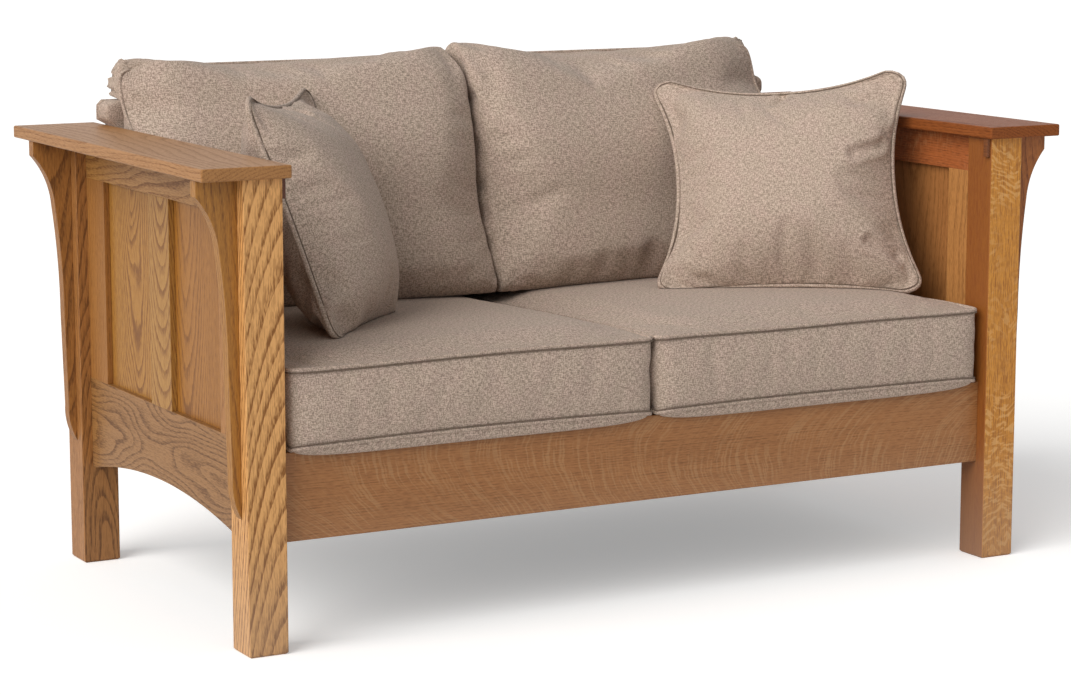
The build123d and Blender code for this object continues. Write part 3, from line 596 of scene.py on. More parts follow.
def new_piece(name, shape):
    """Turn an edited shape into a piece of the scene."""
    mesh = bpy.data.meshes.new(name)
    shape.to_mesh(mesh)
    shape.free()
    piece = bpy.data.objects.new(name, mesh)
    scene.collection.objects.link(piece)
    return piece


def cloth_block(name, counts, place, cloth_size):
    """A closed grid over a block; place turns three shares into a point."""
    shape = new_shape()
    points = {}

    def point(key):
        if key not in points:
            points[key] = shape.verts.new(place(*[part / count for part, count in zip(key, counts)]))
        return points[key]

    square = [(0, 0), (1, 0), (1, 1), (0, 1)]
    turned = [(0, 0), (0, 1), (1, 1), (1, 0)]
    tall = cloth_size[2]
    # for each pair of sides: their two directions and their winding, then the level and the place on
    # the map of the first side and of the second one, which is wound the other way
    sides = [(0, 1, square, (counts[2], 0, 0), (0, 2.3, 1.1)),
             (0, 2, square, (0, 0, -tall), (counts[1], 4.1, -tall)),
             (1, 2, turned, (0, 6.2, 3.0), (counts[0], 7.7, 5.0))]
    for one, other, winding, first_side, second_side in sides:
        for i in range(counts[one]):
            for j in range(counts[other]):
                for (level, map_u, map_v), way in ((first_side, 1), (second_side, -1)):
                    corners = []
                    spots = []
                    for p, q in winding[::way]:
                        key = [level] * 3
                        key[one] = i + p
                        key[other] = j + q
                        corners.append(point(tuple(key)))
                        spots.append((cloth_size[one] * (i + p) / counts[one] + map_u,
                                      cloth_size[other] * (j + q) / counts[other] + map_v))
                    add_square(shape, corners, spots)
    shape.verts.index_update()
    numbers = {key: vertex.index for key, vertex in points.items()}
    return new_piece(name, shape), numbers


print("sides of a block of cloth: 6")

# %% [markdown]
# ## Filling
# The lines where the panels are sewn together are held, and air pressure swells the cloth between
# them, as its filling does. The cover is a little larger than the sewn lines, which gives the small
# puckers that a real seam has. Sculpting could give the same look, but not the same way each time.

# %% Swell a block of cloth with air
def choose_only(piece):
    bpy.ops.object.select_all(action="DESELECT")
    piece.select_set(True)
    bpy.context.view_layer.objects.active = piece


def swell(piece, held, pressure, spare, cap):
    """Cloth simulation between held points; no point moves further than the cap."""
    start = [vertex.co.copy() for vertex in piece.data.vertices]
    piece.vertex_groups.new(name="held").add(sorted(held), 1.0, "REPLACE")
    choose_only(piece)
    cloth = piece.modifiers.new("Cloth", "CLOTH")
    settings = cloth.settings
    settings.quality = 5
    settings.mass = 0.3
    settings.tension_stiffness = 15
    settings.compression_stiffness = 15
    settings.shear_stiffness = 5
    settings.bending_stiffness = 0.4
    settings.use_pressure = True
    settings.uniform_pressure_force = pressure
    settings.vertex_group_mass = "held"
    settings.shrink_min = -spare
    settings.effector_weights.gravity = 0
    scene.frame_start, scene.frame_end = 1, 20
    for frame_number in range(scene.frame_start, scene.frame_end + 1):
        scene.frame_set(frame_number)
    bpy.ops.object.modifier_apply(modifier=cloth.name)
    scene.frame_set(1)
    furthest = 0.0
    for vertex, before in zip(piece.data.vertices, start):
        move = vertex.co - before
        furthest = max(furthest, move.length)
        if move.length > cap:
            vertex.co = before + move * (cap / move.length)
    piece.vertex_groups.clear()
    print(piece.name, "swelled by up to", round(furthest * 1000), "mm")


print("simulation left out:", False)

# %% [markdown]
# ## Evening out, and keeping clear
# After the air the surface is evened out a little and every square is cut in four, so that no edge of
# the grid shows. Pieces that lie on each other are kept a hair apart: a point that would be inside its
# neighbour is pushed out, which leaves the dent that the neighbour makes.

# %% Ease and refine a piece, and keep it clear of its neighbours
def ease(piece, rounds, held):
    """Even out the surface, but not at held points."""
    shape = bmesh.new()
    shape.from_mesh(piece.data)
    free = [vertex for vertex in shape.verts if vertex.index not in held]
    all_ways = dict(use_axis_x=True, use_axis_y=True, use_axis_z=True)
    for _ in range(rounds):
        bmesh.ops.smooth_vert(shape, verts=free, factor=0.5, **all_ways)
    shape.to_mesh(piece.data)
    shape.free()


def shaped_by(piece, kind, **settings):
    """Give a piece a modifier and apply it."""
    choose_only(piece)
    modifier = piece.modifiers.new(kind.title(), kind)
    for name, setting in settings.items():
        setattr(modifier, name, setting)
    bpy.ops.object.modifier_apply(modifier=modifier.name)


def refine(piece):
    shaped_by(piece, "SUBSURF", levels=1, render_levels=1)


def tree_of(piece):
    """A search tree of a piece's faces, to find the nearest point of its surface."""
    mesh = piece.data
    return BVHTree.FromPolygons([v.co for v in mesh.vertices], [tuple(p.vertices) for p in mesh.polygons])


def keep_clear(piece, neighbour_tree, towards):
    """Push points of a piece that are inside a neighbour, or too near it, out along a direction."""
    gap = 0.0008
    moved = 0
    way = Vector(towards).normalized()
    for vertex in piece.data.vertices:
        near, normal, _, _ = neighbour_tree.find_nearest(vertex.co, 0.08)
        if near is None:
            continue
        depth_inside = (near - vertex.co).dot(normal)
        if depth_inside > -gap:
            vertex.co += way * ((depth_inside + gap) / max(0.35, normal.dot(way)))
            moved += 1
    print(piece.name, "points pushed clear:", moved)


print("gap between soft neighbours in millimetres: 0.8")

# %% [markdown]
# ## Piping
# Piping is a cord in a strip of the same cloth, sewn into a seam. It is made last, as a thin tube
# along the sewn line of the swollen cushion, and it carries the weave map along its length. Beside it
# the covers turn in and lie in shade, which is painted on a thinner cord of dark linen.

# %% Make a length of piping
def smoothed(points, closed, rounds=2):
    """A line evened out; the ends of an open one stay in place."""
    for _ in range(rounds):
        count = len(points)
        softer = []
        for index, spot in enumerate(points):
            if closed or 0 < index < count - 1:
                spot = (points[index - 1] + spot * 2 + points[(index + 1) % count]) / 4
            softer.append(spot)
        points = softer
    return points


def piping(name, points, radius, closed=True, sides=8):
    """A tube through points, with narrow ends when it is open."""
    shape = new_shape()
    count = len(points)
    rings = []
    runs = []
    run = 0.0
    side_way = None
    for index, spot in enumerate(points):
        before = points[index - 1] if closed or index > 0 else spot
        after = points[(index + 1) % count] if closed or index < count - 1 else spot
        forward = (after - before).normalized()
        if side_way is None:
            side_way = forward.orthogonal().normalized()
        side_way = (side_way - forward * side_way.dot(forward)).normalized()
        up_way = forward.cross(side_way)
        at_end = not closed and index in (0, count - 1)
        size = radius * (0.35 if at_end else 1.0)
        turns = [2 * math.pi * side / sides for side in range(sides)]
        ring = [spot + (side_way * math.cos(turn) + up_way * math.sin(turn)) * size for turn in turns]
        rings.append([shape.verts.new(place) for place in ring])
        run += (spot - points[index - 1]).length if index else 0.0
        runs.append(run)
    for index in range(count if closed else count - 1):
        following = (index + 1) % count
        shift = 0
        if following == 0:
            gaps = [(rings[0][side].co - rings[index][0].co).length for side in range(sides)]
            shift = gaps.index(min(gaps))
        start = runs[index] + 9.4
        end = start + (points[following] - points[index]).length
        for side in range(sides):
            other = (side + 1) % sides
            corners = [rings[index][side], rings[index][other],
                       rings[following][(other + shift) % sides], rings[following][(side + shift) % sides]]
            rim = 2 * math.pi * radius / sides
            low = side * rim + 2.2
            high = (side + 1) * rim + 2.2
            add_square(shape, corners, [(start, low), (start, high), (end, high), (end, low)])
    if not closed:
        for ring in (rings[0], rings[-1]):
            shape.faces.new(ring).smooth = True
    bmesh.ops.recalc_face_normals(shape, faces=shape.faces)
    return new_piece(name, shape)


def beside(points, out, lift):
    """A closed line moved outwards and up from a seam."""
    moved = []
    for index, spot in enumerate(points):
        along = points[(index + 1) % len(points)] - points[index - 1]
        moved.append(spot + along.cross(Vector((0, 0, 1))).normalized() * out + Vector((0, 0, lift)))
    return moved


def crease(name, points, radius):
    """Painted shade of the groove beside piping: a thin cord of dark linen."""
    groove = piping(name, points, radius, sides=6)
    groove.data.materials.append(seam_shade_linen)
    return groove


def join_all(piece, others):
    """Join the others to a piece. What has no finish yet becomes linen."""
    for part in [piece, *others]:
        if not part.data.materials:
            part.data.materials.append(linen)
    choose_only(piece)
    for other in others:
        other.select_set(True)
    bpy.ops.object.join()
    piece.vertex_groups.clear()


def stand_for(piece, node, body):
    """Let a piece stand for its part of the model, which is hidden, and move with its body."""
    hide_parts(node)
    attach(piece, body)


def finish_soft(piece, node):
    """Give a loose soft piece its place in the model, and say how big it came out."""
    stand_for(piece, node, node)
    low = [min(v.co[axis] for v in piece.data.vertices) for axis in range(3)]
    high = [max(v.co[axis] for v in piece.data.vertices) for axis in range(3)]
    print(node, "from", [round(c, 3) for c in low], "to", [round(c, 3) for c in high],
          "triangles", sum(len(p.vertices) - 2 for p in piece.data.polygons))


print("sides of a piping tube: 8, of a crease: 6")

# %% [markdown]
# ## The shape of a seat cushion
# Each seat cushion is boxed: a top and a bottom panel joined by a tall band, with piping round both
# seams. Its long sides are pulled in a little between the corners. The top is crowned, steeply near
# the seams and flat in the middle, and the bottom is flat where it lies on the deck. In front of the
# rail the bottom panel hangs down a little, as a lip. Nothing sewn by hand is quite even, so each
# cushion gets its own slow waves, from its own seed.

# %% Lay out a seat cushion
def unevenness(seed, size):
    """Slow waves over a panel: a function of two shares, no more than about size high."""
    luck = random.Random(seed)
    waves = []
    for _ in range(6):
        p, q, start = luck.uniform(0.8, 3.2), luck.uniform(0.8, 3.2), luck.uniform(0, 6.28)
        waves.append((p, q, start, luck.uniform(0.5, 1.0)))

    def height(a, b):
        return size * sum(k * math.sin(6.28 * (p * a + q * b) / 2 + start) for p, q, start, k in waves) / 2.6

    return height


deck_turn = math.radians(2.0)
deck_front = Vector((0.0, -0.337, 0.2924))
seat_ends = (0.0035, 0.6100)
seat_run = (-0.0400, 0.6205)
seat_length = seat_run[1] - seat_run[0]
seat_high_seam = 0.1235
high_seam_dip = 0.0040
seat_counts = (76, 86, 14)
seat_waist = 0.007
corner_round = 0.009
low_corner_round = 0.008
crown_edge = 0.0095
crown_middle = 0.0065
hollow_below = 0.0175
band_bulge = 0.0045
lip_rows = 5
lip_run = 0.0140
lip_drop = 0.0145
deck_gap = 0.0008
low_seam_rise = 0.0030
# where the lower seam runs: distance from the front, then height over the deck
low_seam_line = [(0.0, 0.0058), (0.0110, 0.0070), (0.0400, 0.0095), (0.0900, 0.0115), (1.0, 0.0115)]


def along_line(line, share):
    """A smooth curve through (share, value) pairs."""
    for index, ((low, first), (high, last)) in enumerate(zip(line, line[1:])):
        if share <= high:
            before = line[index - 1] if index else (2 * low - high, 2 * first - last)
            after = line[index + 2] if index + 2 < len(line) else (2 * high - low, 2 * last - first)
            part = (share - low) / (high - low)
            slope_in = (last - before[1]) / (high - before[0]) * (high - low)
            slope_out = (after[1] - first) / (after[0] - low) * (high - low)
            square, cube = part * part, part ** 3
            return ((2 * cube - 3 * square + 1) * first + (cube - 2 * square + part) * slope_in
                    + (3 * square - 2 * cube) * last + (cube - square) * slope_out)
    return line[-1][1]


def on_deck(x, run, height):
    """A point over the sloping deck."""
    y = run * math.cos(deck_turn) + height * math.sin(deck_turn)
    z = height * math.cos(deck_turn) - run * math.sin(deck_turn)
    return deck_front + Vector((x, y, z))


def full(share, power):
    """Zero at both ends of a panel, and close to one over most of it."""
    return 1.0 - abs(2.0 * share - 1.0) ** power


def rounded_corner(share, length, radius):
    """How far an end draws in beside a rounded corner, at a share along the side."""
    near = max(0.0, 1.0 - min(share, 1.0 - share) * length / radius)
    return radius * (1.0 - math.sqrt(max(0.0, 1.0 - near * near)))


def run_share(row_share):
    """Rows lie close together in the lip, which hangs in front of the rail."""
    rows = row_share * seat_counts[1]
    if rows <= lip_rows:
        return rows / lip_rows * lip_run / seat_length
    return (lip_run + (rows - lip_rows) / (seat_counts[1] - lip_rows) * (seat_length - lip_run)) / seat_length


def under_seat(u, v, height, from_front):
    """The height of the bottom panel: a lip in front, then flat on the deck."""
    if from_front >= lip_run - 0.0001:
        return max(deck_gap, height - hollow_below * full(u, 11) * full(v, 11))
    lip = max(0.0, 1.0 - abs(2.0 * from_front / lip_run - 1.0) ** 3.5)
    height = height * (1.0 - from_front / lip_run) - lip_drop * lip * full(u, 6) ** 0.5
    return max(height, -0.0005) if from_front > 0.9 * lip_run else height


def seat_point(waves, u, row_share, w):
    """A point of a right seat cushion from its shares across, along its rows and up its band."""
    v = run_share(row_share)
    from_front = v * seat_length
    waist = seat_waist * full(v, 2) + rounded_corner(v, 0.66, corner_round + low_corner_round * (1 - w))
    x = seat_ends[0] + waist + u * (seat_ends[1] - seat_ends[0] - 2 * waist)
    low_seam = along_line(low_seam_line, from_front)
    low_seam += low_seam_rise * full(u, 2) * max(0.0, 1.0 - from_front / 0.03)
    high_seam = seat_high_seam - high_seam_dip * max(0.0, 1.0 - from_front / 0.12) ** 2
    height = low_seam + w * (high_seam - low_seam)
    height += waves(u, v + w) * (0.3 + 0.7 * full(u, 8)) * (0.25 + 0.75 * w)
    if w == 1:
        height += crown_edge * full(u, 6) * full(v, 6) + crown_middle * full(u, 2) * full(v, 2)
    if w == 0:
        height = under_seat(u, v, height, from_front)
    bulge = band_bulge * full(w, 2)
    x += bulge * ((u == 1) - (u == 0)) * full(v, 4)
    run = seat_run[0] + from_front + bulge * 1.4 * ((v == 1) - (v == 0)) * full(u, 4)
    return on_deck(x, run, height)


print("squares of a seat cushion's grid:", seat_counts)

# %% [markdown]
# ## The seat cushions
# The left cushion is laid out as the right one turned over. Mirroring a finished mesh would be
# quicker, but then both would have the same creases.

# %% Make both seat cushions
def on_side(side, point):
    """A layout function for the right side, turned over for the left, its faces still outwards."""
    if side == "right":
        return point

    def turned_over(u, v, w):
        spot = point(1 - u, v, w)
        return Vector((-spot.x, spot.y, spot.z))

    return turned_over


def around(a, b):
    """The places round a grid of a by b squares, in order."""
    places = [(i, 0) for i in range(a)] + [(a, j) for j in range(b)]
    return places + [(i, b) for i in range(a, 0, -1)] + [(0, j) for j in range(b, 0, -1)]


def spots_of(piece, chosen):
    """The places of chosen points."""
    return [piece.data.vertices[number].co.copy() for number in chosen]


seat_piping = 0.0034
crease_out = 0.0024
crease_lift = 0.0038
crease_radius = 0.0012
seat_trees = {}
for side, seed in (("right", 11), ("left", 12)):
    waves = unevenness(seed, 0.0017)
    node = "seat_cushion_" + side
    layout = on_side(side, lambda u, v, w: seat_point(waves, u, v, w))
    seat, numbers = cloth_block(node + "_cover", seat_counts, layout, (0.604, 0.662, 0.124))
    top_rim = [numbers[(i, j, seat_counts[2])] for i, j in around(*seat_counts[:2])]
    bottom_rim = [numbers[(i, j, 0)] for i, j in around(*seat_counts[:2])]
    held = set(top_rim) | {number for key, number in numbers.items() if key[2] == 0}
    swell(seat, held, pressure=3.0, spare=0.012, cap=0.010)
    ease(seat, 2, held)
    top_line = smoothed(spots_of(seat, top_rim), True)
    bottom_line = smoothed(spots_of(seat, bottom_rim), True)
    refine(seat)
    # the crease cords are dark linen: painted shade beside the piping
    join_all(seat, [
        piping("seat_top_piping", top_line, seat_piping),
        piping("seat_bottom_piping", bottom_line, seat_piping),
        crease("seat_top_crease", beside(top_line, crease_out, -crease_lift), crease_radius),
        crease("seat_bottom_crease", beside(bottom_line, crease_out, crease_lift), crease_radius)])
    finish_soft(seat, node)
    seat_trees[side] = tree_of(seat)

# %% [markdown]
# ## The shape of a back cushion
# A back cushion is deep at its foot and narrow at its top, where it folds back over the fixed back.
# Both ends are gussets, and the filling keeps away from them, so the front falls back towards each
# end, most of all at the outer upper corner.

# %% Lay out a back cushion
back_counts = (72, 26, 58)
back_foot = 0.4185
# share of the height, then depth of the front at the inner end, at the outer end, and its crown
back_inner_line = [(0.0, 0.142), (0.04, 0.130), (0.20, 0.158), (0.39, 0.190), (0.65, 0.203), (0.82, 0.229),
                   (0.94, 0.252), (1.0, 0.282)]
back_outer_line = [(0.0, 0.142), (0.04, 0.130), (0.20, 0.160), (0.39, 0.194), (0.65, 0.222), (0.76, 0.258),
                   (0.83, 0.286), (0.90, 0.298), (1.0, 0.312)]
back_crown_line = [(0.0, 0.006), (0.06, 0.018), (0.21, 0.036), (0.47, 0.052), (0.73, 0.036), (0.90, 0.016),
                   (1.0, 0.004)]
# how the rear goes: share of the height, then depth and height of its line
back_fold_line = [(0.0, 0.2920, 0.4185), (0.862, 0.2925, 0.7546), (0.880, 0.3200, 0.7550),
                  (0.897, 0.3430, 0.7556), (0.914, 0.3540, 0.7590), (0.950, 0.3575, 0.7740),
                  (0.975, 0.3550, 0.7880), (1.0, 0.3470, 0.8020)]
back_top_line = {
    "right": [(0.0, 0.815), (0.12, 0.811), (0.34, 0.7985), (0.58, 0.8045), (0.83, 0.8115), (1.0, 0.803)],
    "left": [(0.0, 0.806), (0.12, 0.811), (0.45, 0.806), (0.66, 0.8005), (0.88, 0.8065), (1.0, 0.800)]}


def fold_at(share):
    """Depth and height of the rear of a back cushion, which folds over the fixed back."""
    for (low, y0, z0), (high, y1, z1) in zip(back_fold_line, back_fold_line[1:]):
        if share <= high:
            part = (share - low) / (high - low)
            return y0 + part * (y1 - y0), z0 + part * (z1 - z0)
    return back_fold_line[-1][1:]


def back_point(side, waves, u, v, w):
    """A point of a back cushion, laid out on the right, from its shares across, deep and up."""
    near_top = max(0.0, (w - 0.86) / 0.14)
    round_top = 1.0 - math.sqrt(max(0.0, 1.0 - near_top ** 2))
    inner_end = 0.0028 + 0.008 * full(w, 2) + (0.012 if side == "left" else 0.0) * round_top
    outer_end = 0.6025 - 0.004 * full(w, 2) - 0.008 * round_top
    x = inner_end + u * (outer_end - inner_end)
    fullness = 0.78 * full(u, 6) + 0.22 * full(u, 2)
    line = along_line(back_inner_line, w)
    line += (along_line(back_outer_line, w) - line) * u ** 3
    front = line - along_line(back_crown_line, w) * fullness - waves(u, w) * full(u, 4) * full(w, 4)
    rear, rear_height = fold_at(w)
    y = front + v * (rear - front)
    top = along_line(back_top_line[side], u)
    z = back_foot + w * (top - back_foot)
    z += v ** 4 * (rear_height - z)
    if w == 1:
        z += 0.014 * full(v, 2)
    return Vector((x, y, z))


print("squares of a back cushion's grid:", back_counts)

# %% [markdown]
# ## Pleats and tucks
# At the outer upper corner of a back cushion the piping turns in, and the cover is gathered into small
# pleats and tucks. The cloth simulation is too coarse for them, so they are pressed into the finished
# surface: pleats run out from a corner like a fan, and a tuck is a short slit with swollen lips.

# %% Pleat and tuck the cover
def pleated(piece, corner, reach, deep, away):
    """Folds that run out from a corner, deepest beside it. Away is the side that the cover lies on."""
    piece.data.update()
    normals = [vertex.normal.copy() for vertex in piece.data.vertices]
    for vertex, normal in zip(piece.data.vertices, normals):
        arm = vertex.co - corner
        far = arm.length / reach
        if far >= 1.0:
            continue
        turn = math.atan2(arm.z, arm.x * away) + 0.6 * far
        fold = abs(math.sin(turn * pleat_count)) ** 0.5 - 0.75
        fade = min(1.0, far * 4.0) * (1.0 - far) ** 1.3
        vertex.co += normal * (fold * deep * fade)


def tucked(piece, start, end, wide, deep):
    """A short slit where the cover is tucked in, between two points near its surface."""
    piece.data.update()
    normals = [vertex.normal.copy() for vertex in piece.data.vertices]
    span = end - start
    for vertex, normal in zip(piece.data.vertices, normals):
        share = min(1.0, max(0.0, (vertex.co - start).dot(span) / span.length_squared))
        far = (vertex.co - start - span * share).length / wide
        if far < 1.0:
            vertex.co -= normal * (deep * (1.0 - far ** 2))
        elif far < 2.0:
            vertex.co += normal * (0.25 * deep * (1.0 - abs(2.0 * far - 3.0)))


pleat_count = 5
tuck_wide = 0.0042
tuck_deep = 0.009
# on a right back cushion: corner, reach and depth of each fan, then start and end of each tuck
back_pleats = [((0.592, 0.300, 0.800), 0.070, 0.0045), ((0.012, 0.140, 0.430), 0.070, 0.0045),
               ((0.594, 0.140, 0.430), 0.060, 0.0040)]
back_tucks = [((0.600, 0.360, 0.765), (0.600, 0.325, 0.766)), ((0.598, 0.356, 0.790), (0.598, 0.336, 0.791)),
              ((0.590, 0.325, 0.817), (0.578, 0.300, 0.815)), ((0.597, 0.306, 0.776), (0.585, 0.302, 0.774))]
print("fans of pleats:", len(back_pleats), "tucks:", len(back_tucks))

# %% [markdown]
# ## The back cushions
# Each stands on its seat cushion, so its foot is pushed clear of the seat's crown last of all. Piping
# runs up the front of the outer end and along the rear edge of the fold.

# %% Make both back cushions
back_piping = 0.0030
back_trees = {}
for side, way, seed in (("right", 1, 21), ("left", -1, 22)):
    waves = unevenness(seed, 0.004)
    node = "back_cushion_" + side
    layout = on_side(side, lambda u, v, w: back_point(side, waves, u, v, w))
    back, numbers = cloth_block(node + "_cover", back_counts, layout, (0.604, 0.12, 0.40))
    across_count, depth_count, height_count = back_counts
    outer, inner = (across_count, 0) if side == "right" else (0, across_count)
    end_rims = [numbers[(end, j, k)] for end in (outer, inner) for k, j in around(height_count, depth_count)]
    rear_rim = [numbers[(i, depth_count, height_count)] for i in range(across_count + 1)]
    seams = set(end_rims + rear_rim)
    held = set(seams)
    for (i, j, k), number in numbers.items():
        if k == 0 or (j == depth_count and k < 0.93 * height_count):
            held.add(number)
    swell(back, held, pressure=3.0, spare=0.035, cap=0.014)
    ease(back, 2, seams)
    welt_keys = [(outer, 0, k) for k in range(height_count + 1)]
    welt_keys += [(outer - way * i, 0, height_count) for i in range(1, 3)]
    welt_line = smoothed(spots_of(back, [numbers[key] for key in welt_keys]), False, 3)
    rear_line = smoothed(spots_of(back, rear_rim), False)
    refine(back)
    for (x, y, z), reach, deep in back_pleats:
        pleated(back, Vector((x * way, y, z)), reach, deep, way)
    for start, end in back_tucks:
        start, end = [Vector((x * way, y, z)) for x, y, z in (start, end)]
        tucked(back, start, end, tuck_wide, tuck_deep)
    join_all(back, [piping("back_end_piping", welt_line, back_piping, closed=False),
                    piping("back_rear_piping", rear_line, back_piping, closed=False)])
    keep_clear(back, seat_trees[side], (0, 0, 1))
    finish_soft(back, node)
    back_trees[side] = tree_of(back)

# %% [markdown]
# ## The shape of a throw pillow
# A throw pillow is two squares of cloth, sewn face to face round a piped edge and stuffed. The four
# edges pull inwards between the corners, and the corners stay thin and turn up. Each pillow is laid
# out between its four corners, half filled, and then swollen with air.

# %% Lay out a pillow between its corners
pillow_counts = (60, 60, 1)
pillow_side = 0.44
pillow_corner = 0.034
edge_gap = 0.0035
corner_ears = 0.004


def pillow_cover(name, corners, bows, thickness, waves):
    """Corners go lower left, lower right, upper right, upper left; bows are how far edges draw in."""
    low_left, low_right, high_right, high_left = corners
    way_across = ((low_right - low_left) + (high_right - high_left)).normalized()
    way_up = ((high_left - low_left) + (high_right - low_right)).normalized()
    way_out = way_across.cross(way_up).normalized()
    bow_low, bow_right, bow_high, bow_left = bows

    def place(u, v, w):
        inset = rounded_corner(v, pillow_side, pillow_corner) / pillow_side
        share = inset + u * (1 - 2 * inset)
        spot = low_left.lerp(low_right, share).lerp(high_left.lerp(high_right, share), v)
        bow_across = bow_left * full(v, 2.2) * (1 - u) ** 2 - bow_right * full(v, 2.2) * u ** 2
        bow_up = bow_low * full(u, 2.2) * (1 - v) ** 2 - bow_high * full(u, 2.2) * v ** 2
        spot = spot + way_across * bow_across
        spot = spot + way_up * bow_up
        swollen = (full(u, 2.4) * full(v, 2.4)) ** 0.60
        lift = (w - 0.5) * (edge_gap + (thickness + waves(u + w, v)) * swollen)
        corner = (abs(2 * u - 1) * abs(2 * v - 1)) ** 6
        return spot + way_out * (lift + corner_ears * corner)

    return cloth_block(name, pillow_counts, place, (pillow_side, pillow_side, 0.003))


print("squares of a pillow's grid:", pillow_counts)

# %% [markdown]
# ## The throw pillows
# The right pillow leans back against its cushion, and its corners are far apart because it faces
# forwards. The left one stands in the corner, turned a quarter. Both are pushed clear of the cushions
# that they lean on. A few dents show where hands have patted them.

# %% Make both throw pillows
pillow_piping = 0.0042
pillow_crease_lift = 0.0046
pillow_crease_radius = 0.0010
dent_wide = 0.012
dent_deep = 0.007
pillow_forwards = (0, -1, 0.2)


def make_pillow(side, corners, bows, thickness, seed, dents):
    """Dents are slits between two squares of the front, counted across and up."""
    node = "throw_pillow_" + side
    corners = [Vector(corner) for corner in corners]
    piece, numbers = pillow_cover(node + "_cover", corners, bows, thickness, unevenness(seed, 0.010))
    rims = [[numbers[(i, j, level)] for i, j in around(*pillow_counts[:2])] for level in (0, 1)]
    held = set(rims[0] + rims[1])
    swell(piece, held, pressure=4.0, spare=0.06, cap=0.026)
    ease(piece, 1, held)
    edge_lines = [spots_of(piece, rim) for rim in rims]
    middle_line = smoothed([(a + b) / 2 for a, b in zip(*edge_lines)], True)
    refine(piece)
    for a, b, c, d in dents:
        start, end = spots_of(piece, (numbers[(a, b, 1)], numbers[(c, d, 1)]))
        tucked(piece, start, end, dent_wide, dent_deep)
    low_left, low_right, high_right, high_left = corners
    way_out = (low_right - low_left).cross(high_left - low_left).normalized()
    centre = (low_left + low_right + high_right + high_left) / 4
    lift = way_out * pillow_crease_lift
    # the crease cord is dark linen: painted shade beside the piping
    crease_line = [spot + (centre - spot).normalized() * crease_out + lift for spot in middle_line]
    join_all(piece, [piping(node + "_piping", middle_line, pillow_piping),
                     crease(node + "_crease", crease_line, pillow_crease_radius)])
    keep_clear(piece, back_trees[side], pillow_forwards)
    keep_clear(piece, seat_trees[side], (0, 0, 1))
    finish_soft(piece, node)


make_pillow(
    "right",
    [(0.2090, -0.0130, 0.4205), (0.5980, -0.2520, 0.4265),
     (0.6060, -0.1800, 0.7890), (0.3345, 0.2130, 0.7520)],
    (0.014, 0.044, 0.032, 0.050), 0.112, 31, [(50, 36, 57, 39), (51, 12, 57, 9), (30, 56, 31, 59)])
make_pillow(
    "left",
    [(-0.4900, -0.2620, 0.4250), (-0.2700, -0.0220, 0.4205),
     (-0.3080, 0.2260, 0.7650), (-0.5600, -0.0960, 0.7800)],
    (0.008, 0.026, 0.024, 0.016), 0.126, 32, [(30, 56, 33, 59)])

# %% [markdown]
# ## The fixed back
# Behind the loose cushions the frame has a fixed back, padded over webbing and covered in the same
# linen. Its inside cover is a padded shell round the back frame: wide below the arms, narrow between
# them, and spreading a little over them. It is tight and nearly flat, so it isn't swollen with air.

# %% Cover the fixed back
inside_low, inside_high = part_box("inside_back_cover")
outside_low, outside_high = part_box("outside_back_cover")
arm_level = 0.7130
under_arms = 0.690
neck_half = 0.6110
spread_over_arms = 0.0150
upper_round = 0.012
fixed_counts = (72, 6, 54)
arm_row = 49 / 54


def half_at(z, top):
    """Half the fixed back's width at a height, with a rounded upper corner."""
    if z < under_arms:
        return inside_high.x
    over = max(0.0, z - (top - upper_round))
    spread = spread_over_arms * min(1.0, max(0.0, (z - arm_level - 0.0002) / 0.006))
    return neck_half + spread - upper_round + math.sqrt(upper_round ** 2 - min(over, upper_round) ** 2)


def fixed_back_point(u, v, w):
    """The padded cover; its rows are set so that one lies just over the arms."""
    over_arms = max(0.0, w - arm_row) / (1 - arm_row)
    z = inside_low.z + min(w, arm_row) / arm_row * (arm_level - inside_low.z)
    z += over_arms * (inside_high.z - arm_level)
    x = (2 * u - 1) * half_at(z, inside_high.z)
    over = max(0.0, z - (inside_high.z - upper_round)) / upper_round
    front = inside_low.y + 0.0040 + 0.004 * over ** 2
    front -= 0.0036 * full(u, 8) * full(min(1.0, w * 1.02), 6)
    rear = inside_high.y - 0.0006 - 0.004 * over ** 2
    return Vector((x, front + v * (rear - front), z))


fixed_back, numbers = cloth_block("fixed_back_cover", fixed_counts, fixed_back_point, (1.24, 0.05, 0.48))
ease(fixed_back, 1, {number for key, number in numbers.items() if key[2] > 48})
refine(fixed_back)
fixed_back.data.materials.append(linen)
stand_for(fixed_back, "inside_back_cover", "loveseat_frame")
print("fixed back cover, squares:", fixed_counts)

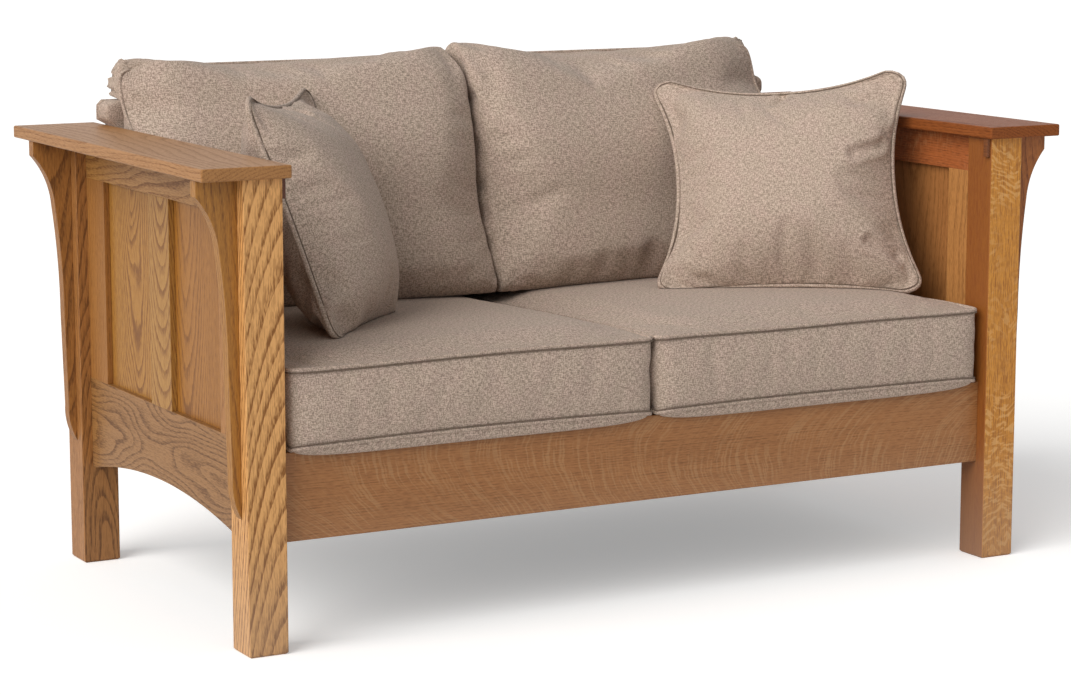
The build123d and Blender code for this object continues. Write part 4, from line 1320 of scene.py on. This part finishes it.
# %% [markdown]
# ## The stretched cloths
# The outside of the fixed back is closed by one flat stretched cloth. A darker deck cloth is stretched
# under the seat cushions, and a thin dark cloth closes the bottom. All three are tight, so each is
# laid out flat at its real size and given its thickness, with no simulation.

# %% Make the stretched cloths
def stretched_cloth(name, node, counts, place, size, thick, finish):
    """One sheet of cloth with a thickness; place turns two shares into a point."""
    shape = new_shape()
    a, b = counts
    points = [[shape.verts.new(place(i / a, j / b)) for j in range(b + 1)] for i in range(a + 1)]
    for i in range(a):
        for j in range(b):
            keys = [(i, j), (i + 1, j), (i + 1, j + 1), (i, j + 1)]
            spots = [(p / a * size[0], q / b * size[1]) for p, q in keys]
            add_square(shape, [points[p][q] for p, q in keys], spots)
    cloth = new_piece(name, shape)
    shaped_by(cloth, "SOLIDIFY", thickness=thick, offset=-1.0)
    cloth.data.materials.append(finish)
    stand_for(cloth, node, "loveseat_frame")


def outside_point(u, v):
    z = outside_low.z + v * (outside_high.z - outside_low.z - 0.0005)
    half = half_at(z, outside_high.z) - 0.0005
    y = outside_high.y - 0.0003 - 0.0016 * full(u, 6) * full(v, 6)
    return Vector(((1 - 2 * u) * half, y, z))


deck_low, deck_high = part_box("deck_cloth")
dust_low, dust_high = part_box("dust_cover")


def deck_point(u, v):
    spot = on_deck(deck_low.x + 0.0005 + u * (deck_high.x - deck_low.x - 0.001), 0.0005 + v * 0.6455, 0.0)
    return spot + Vector((0.0, 0.0, -0.0006 - 0.0008 * full(u, 4) * full(v, 4)))


def dust_point(u, v):
    x = dust_high.x - 0.0005 - u * (dust_high.x - dust_low.x - 0.001)
    y = dust_low.y + 0.0005 + v * (dust_high.y - dust_low.y - 0.001)
    return Vector((x, y, dust_low.z + 0.0002))


stretched_cloth("outside_back_cloth", "outside_back_cover", (96, 60), outside_point,
                (1.243, 0.480), 0.0018, linen)
stretched_cloth("deck_cloth_top", "deck_cloth", (60, 40), deck_point,
                (1.230, 0.6455), 0.0012, deck_linen)
stretched_cloth("dust_cloth_bottom", "dust_cover", (40, 24), dust_point,
                (1.230, 0.633), 0.0010, dust_cloth)
print("stretched cloths: 3")
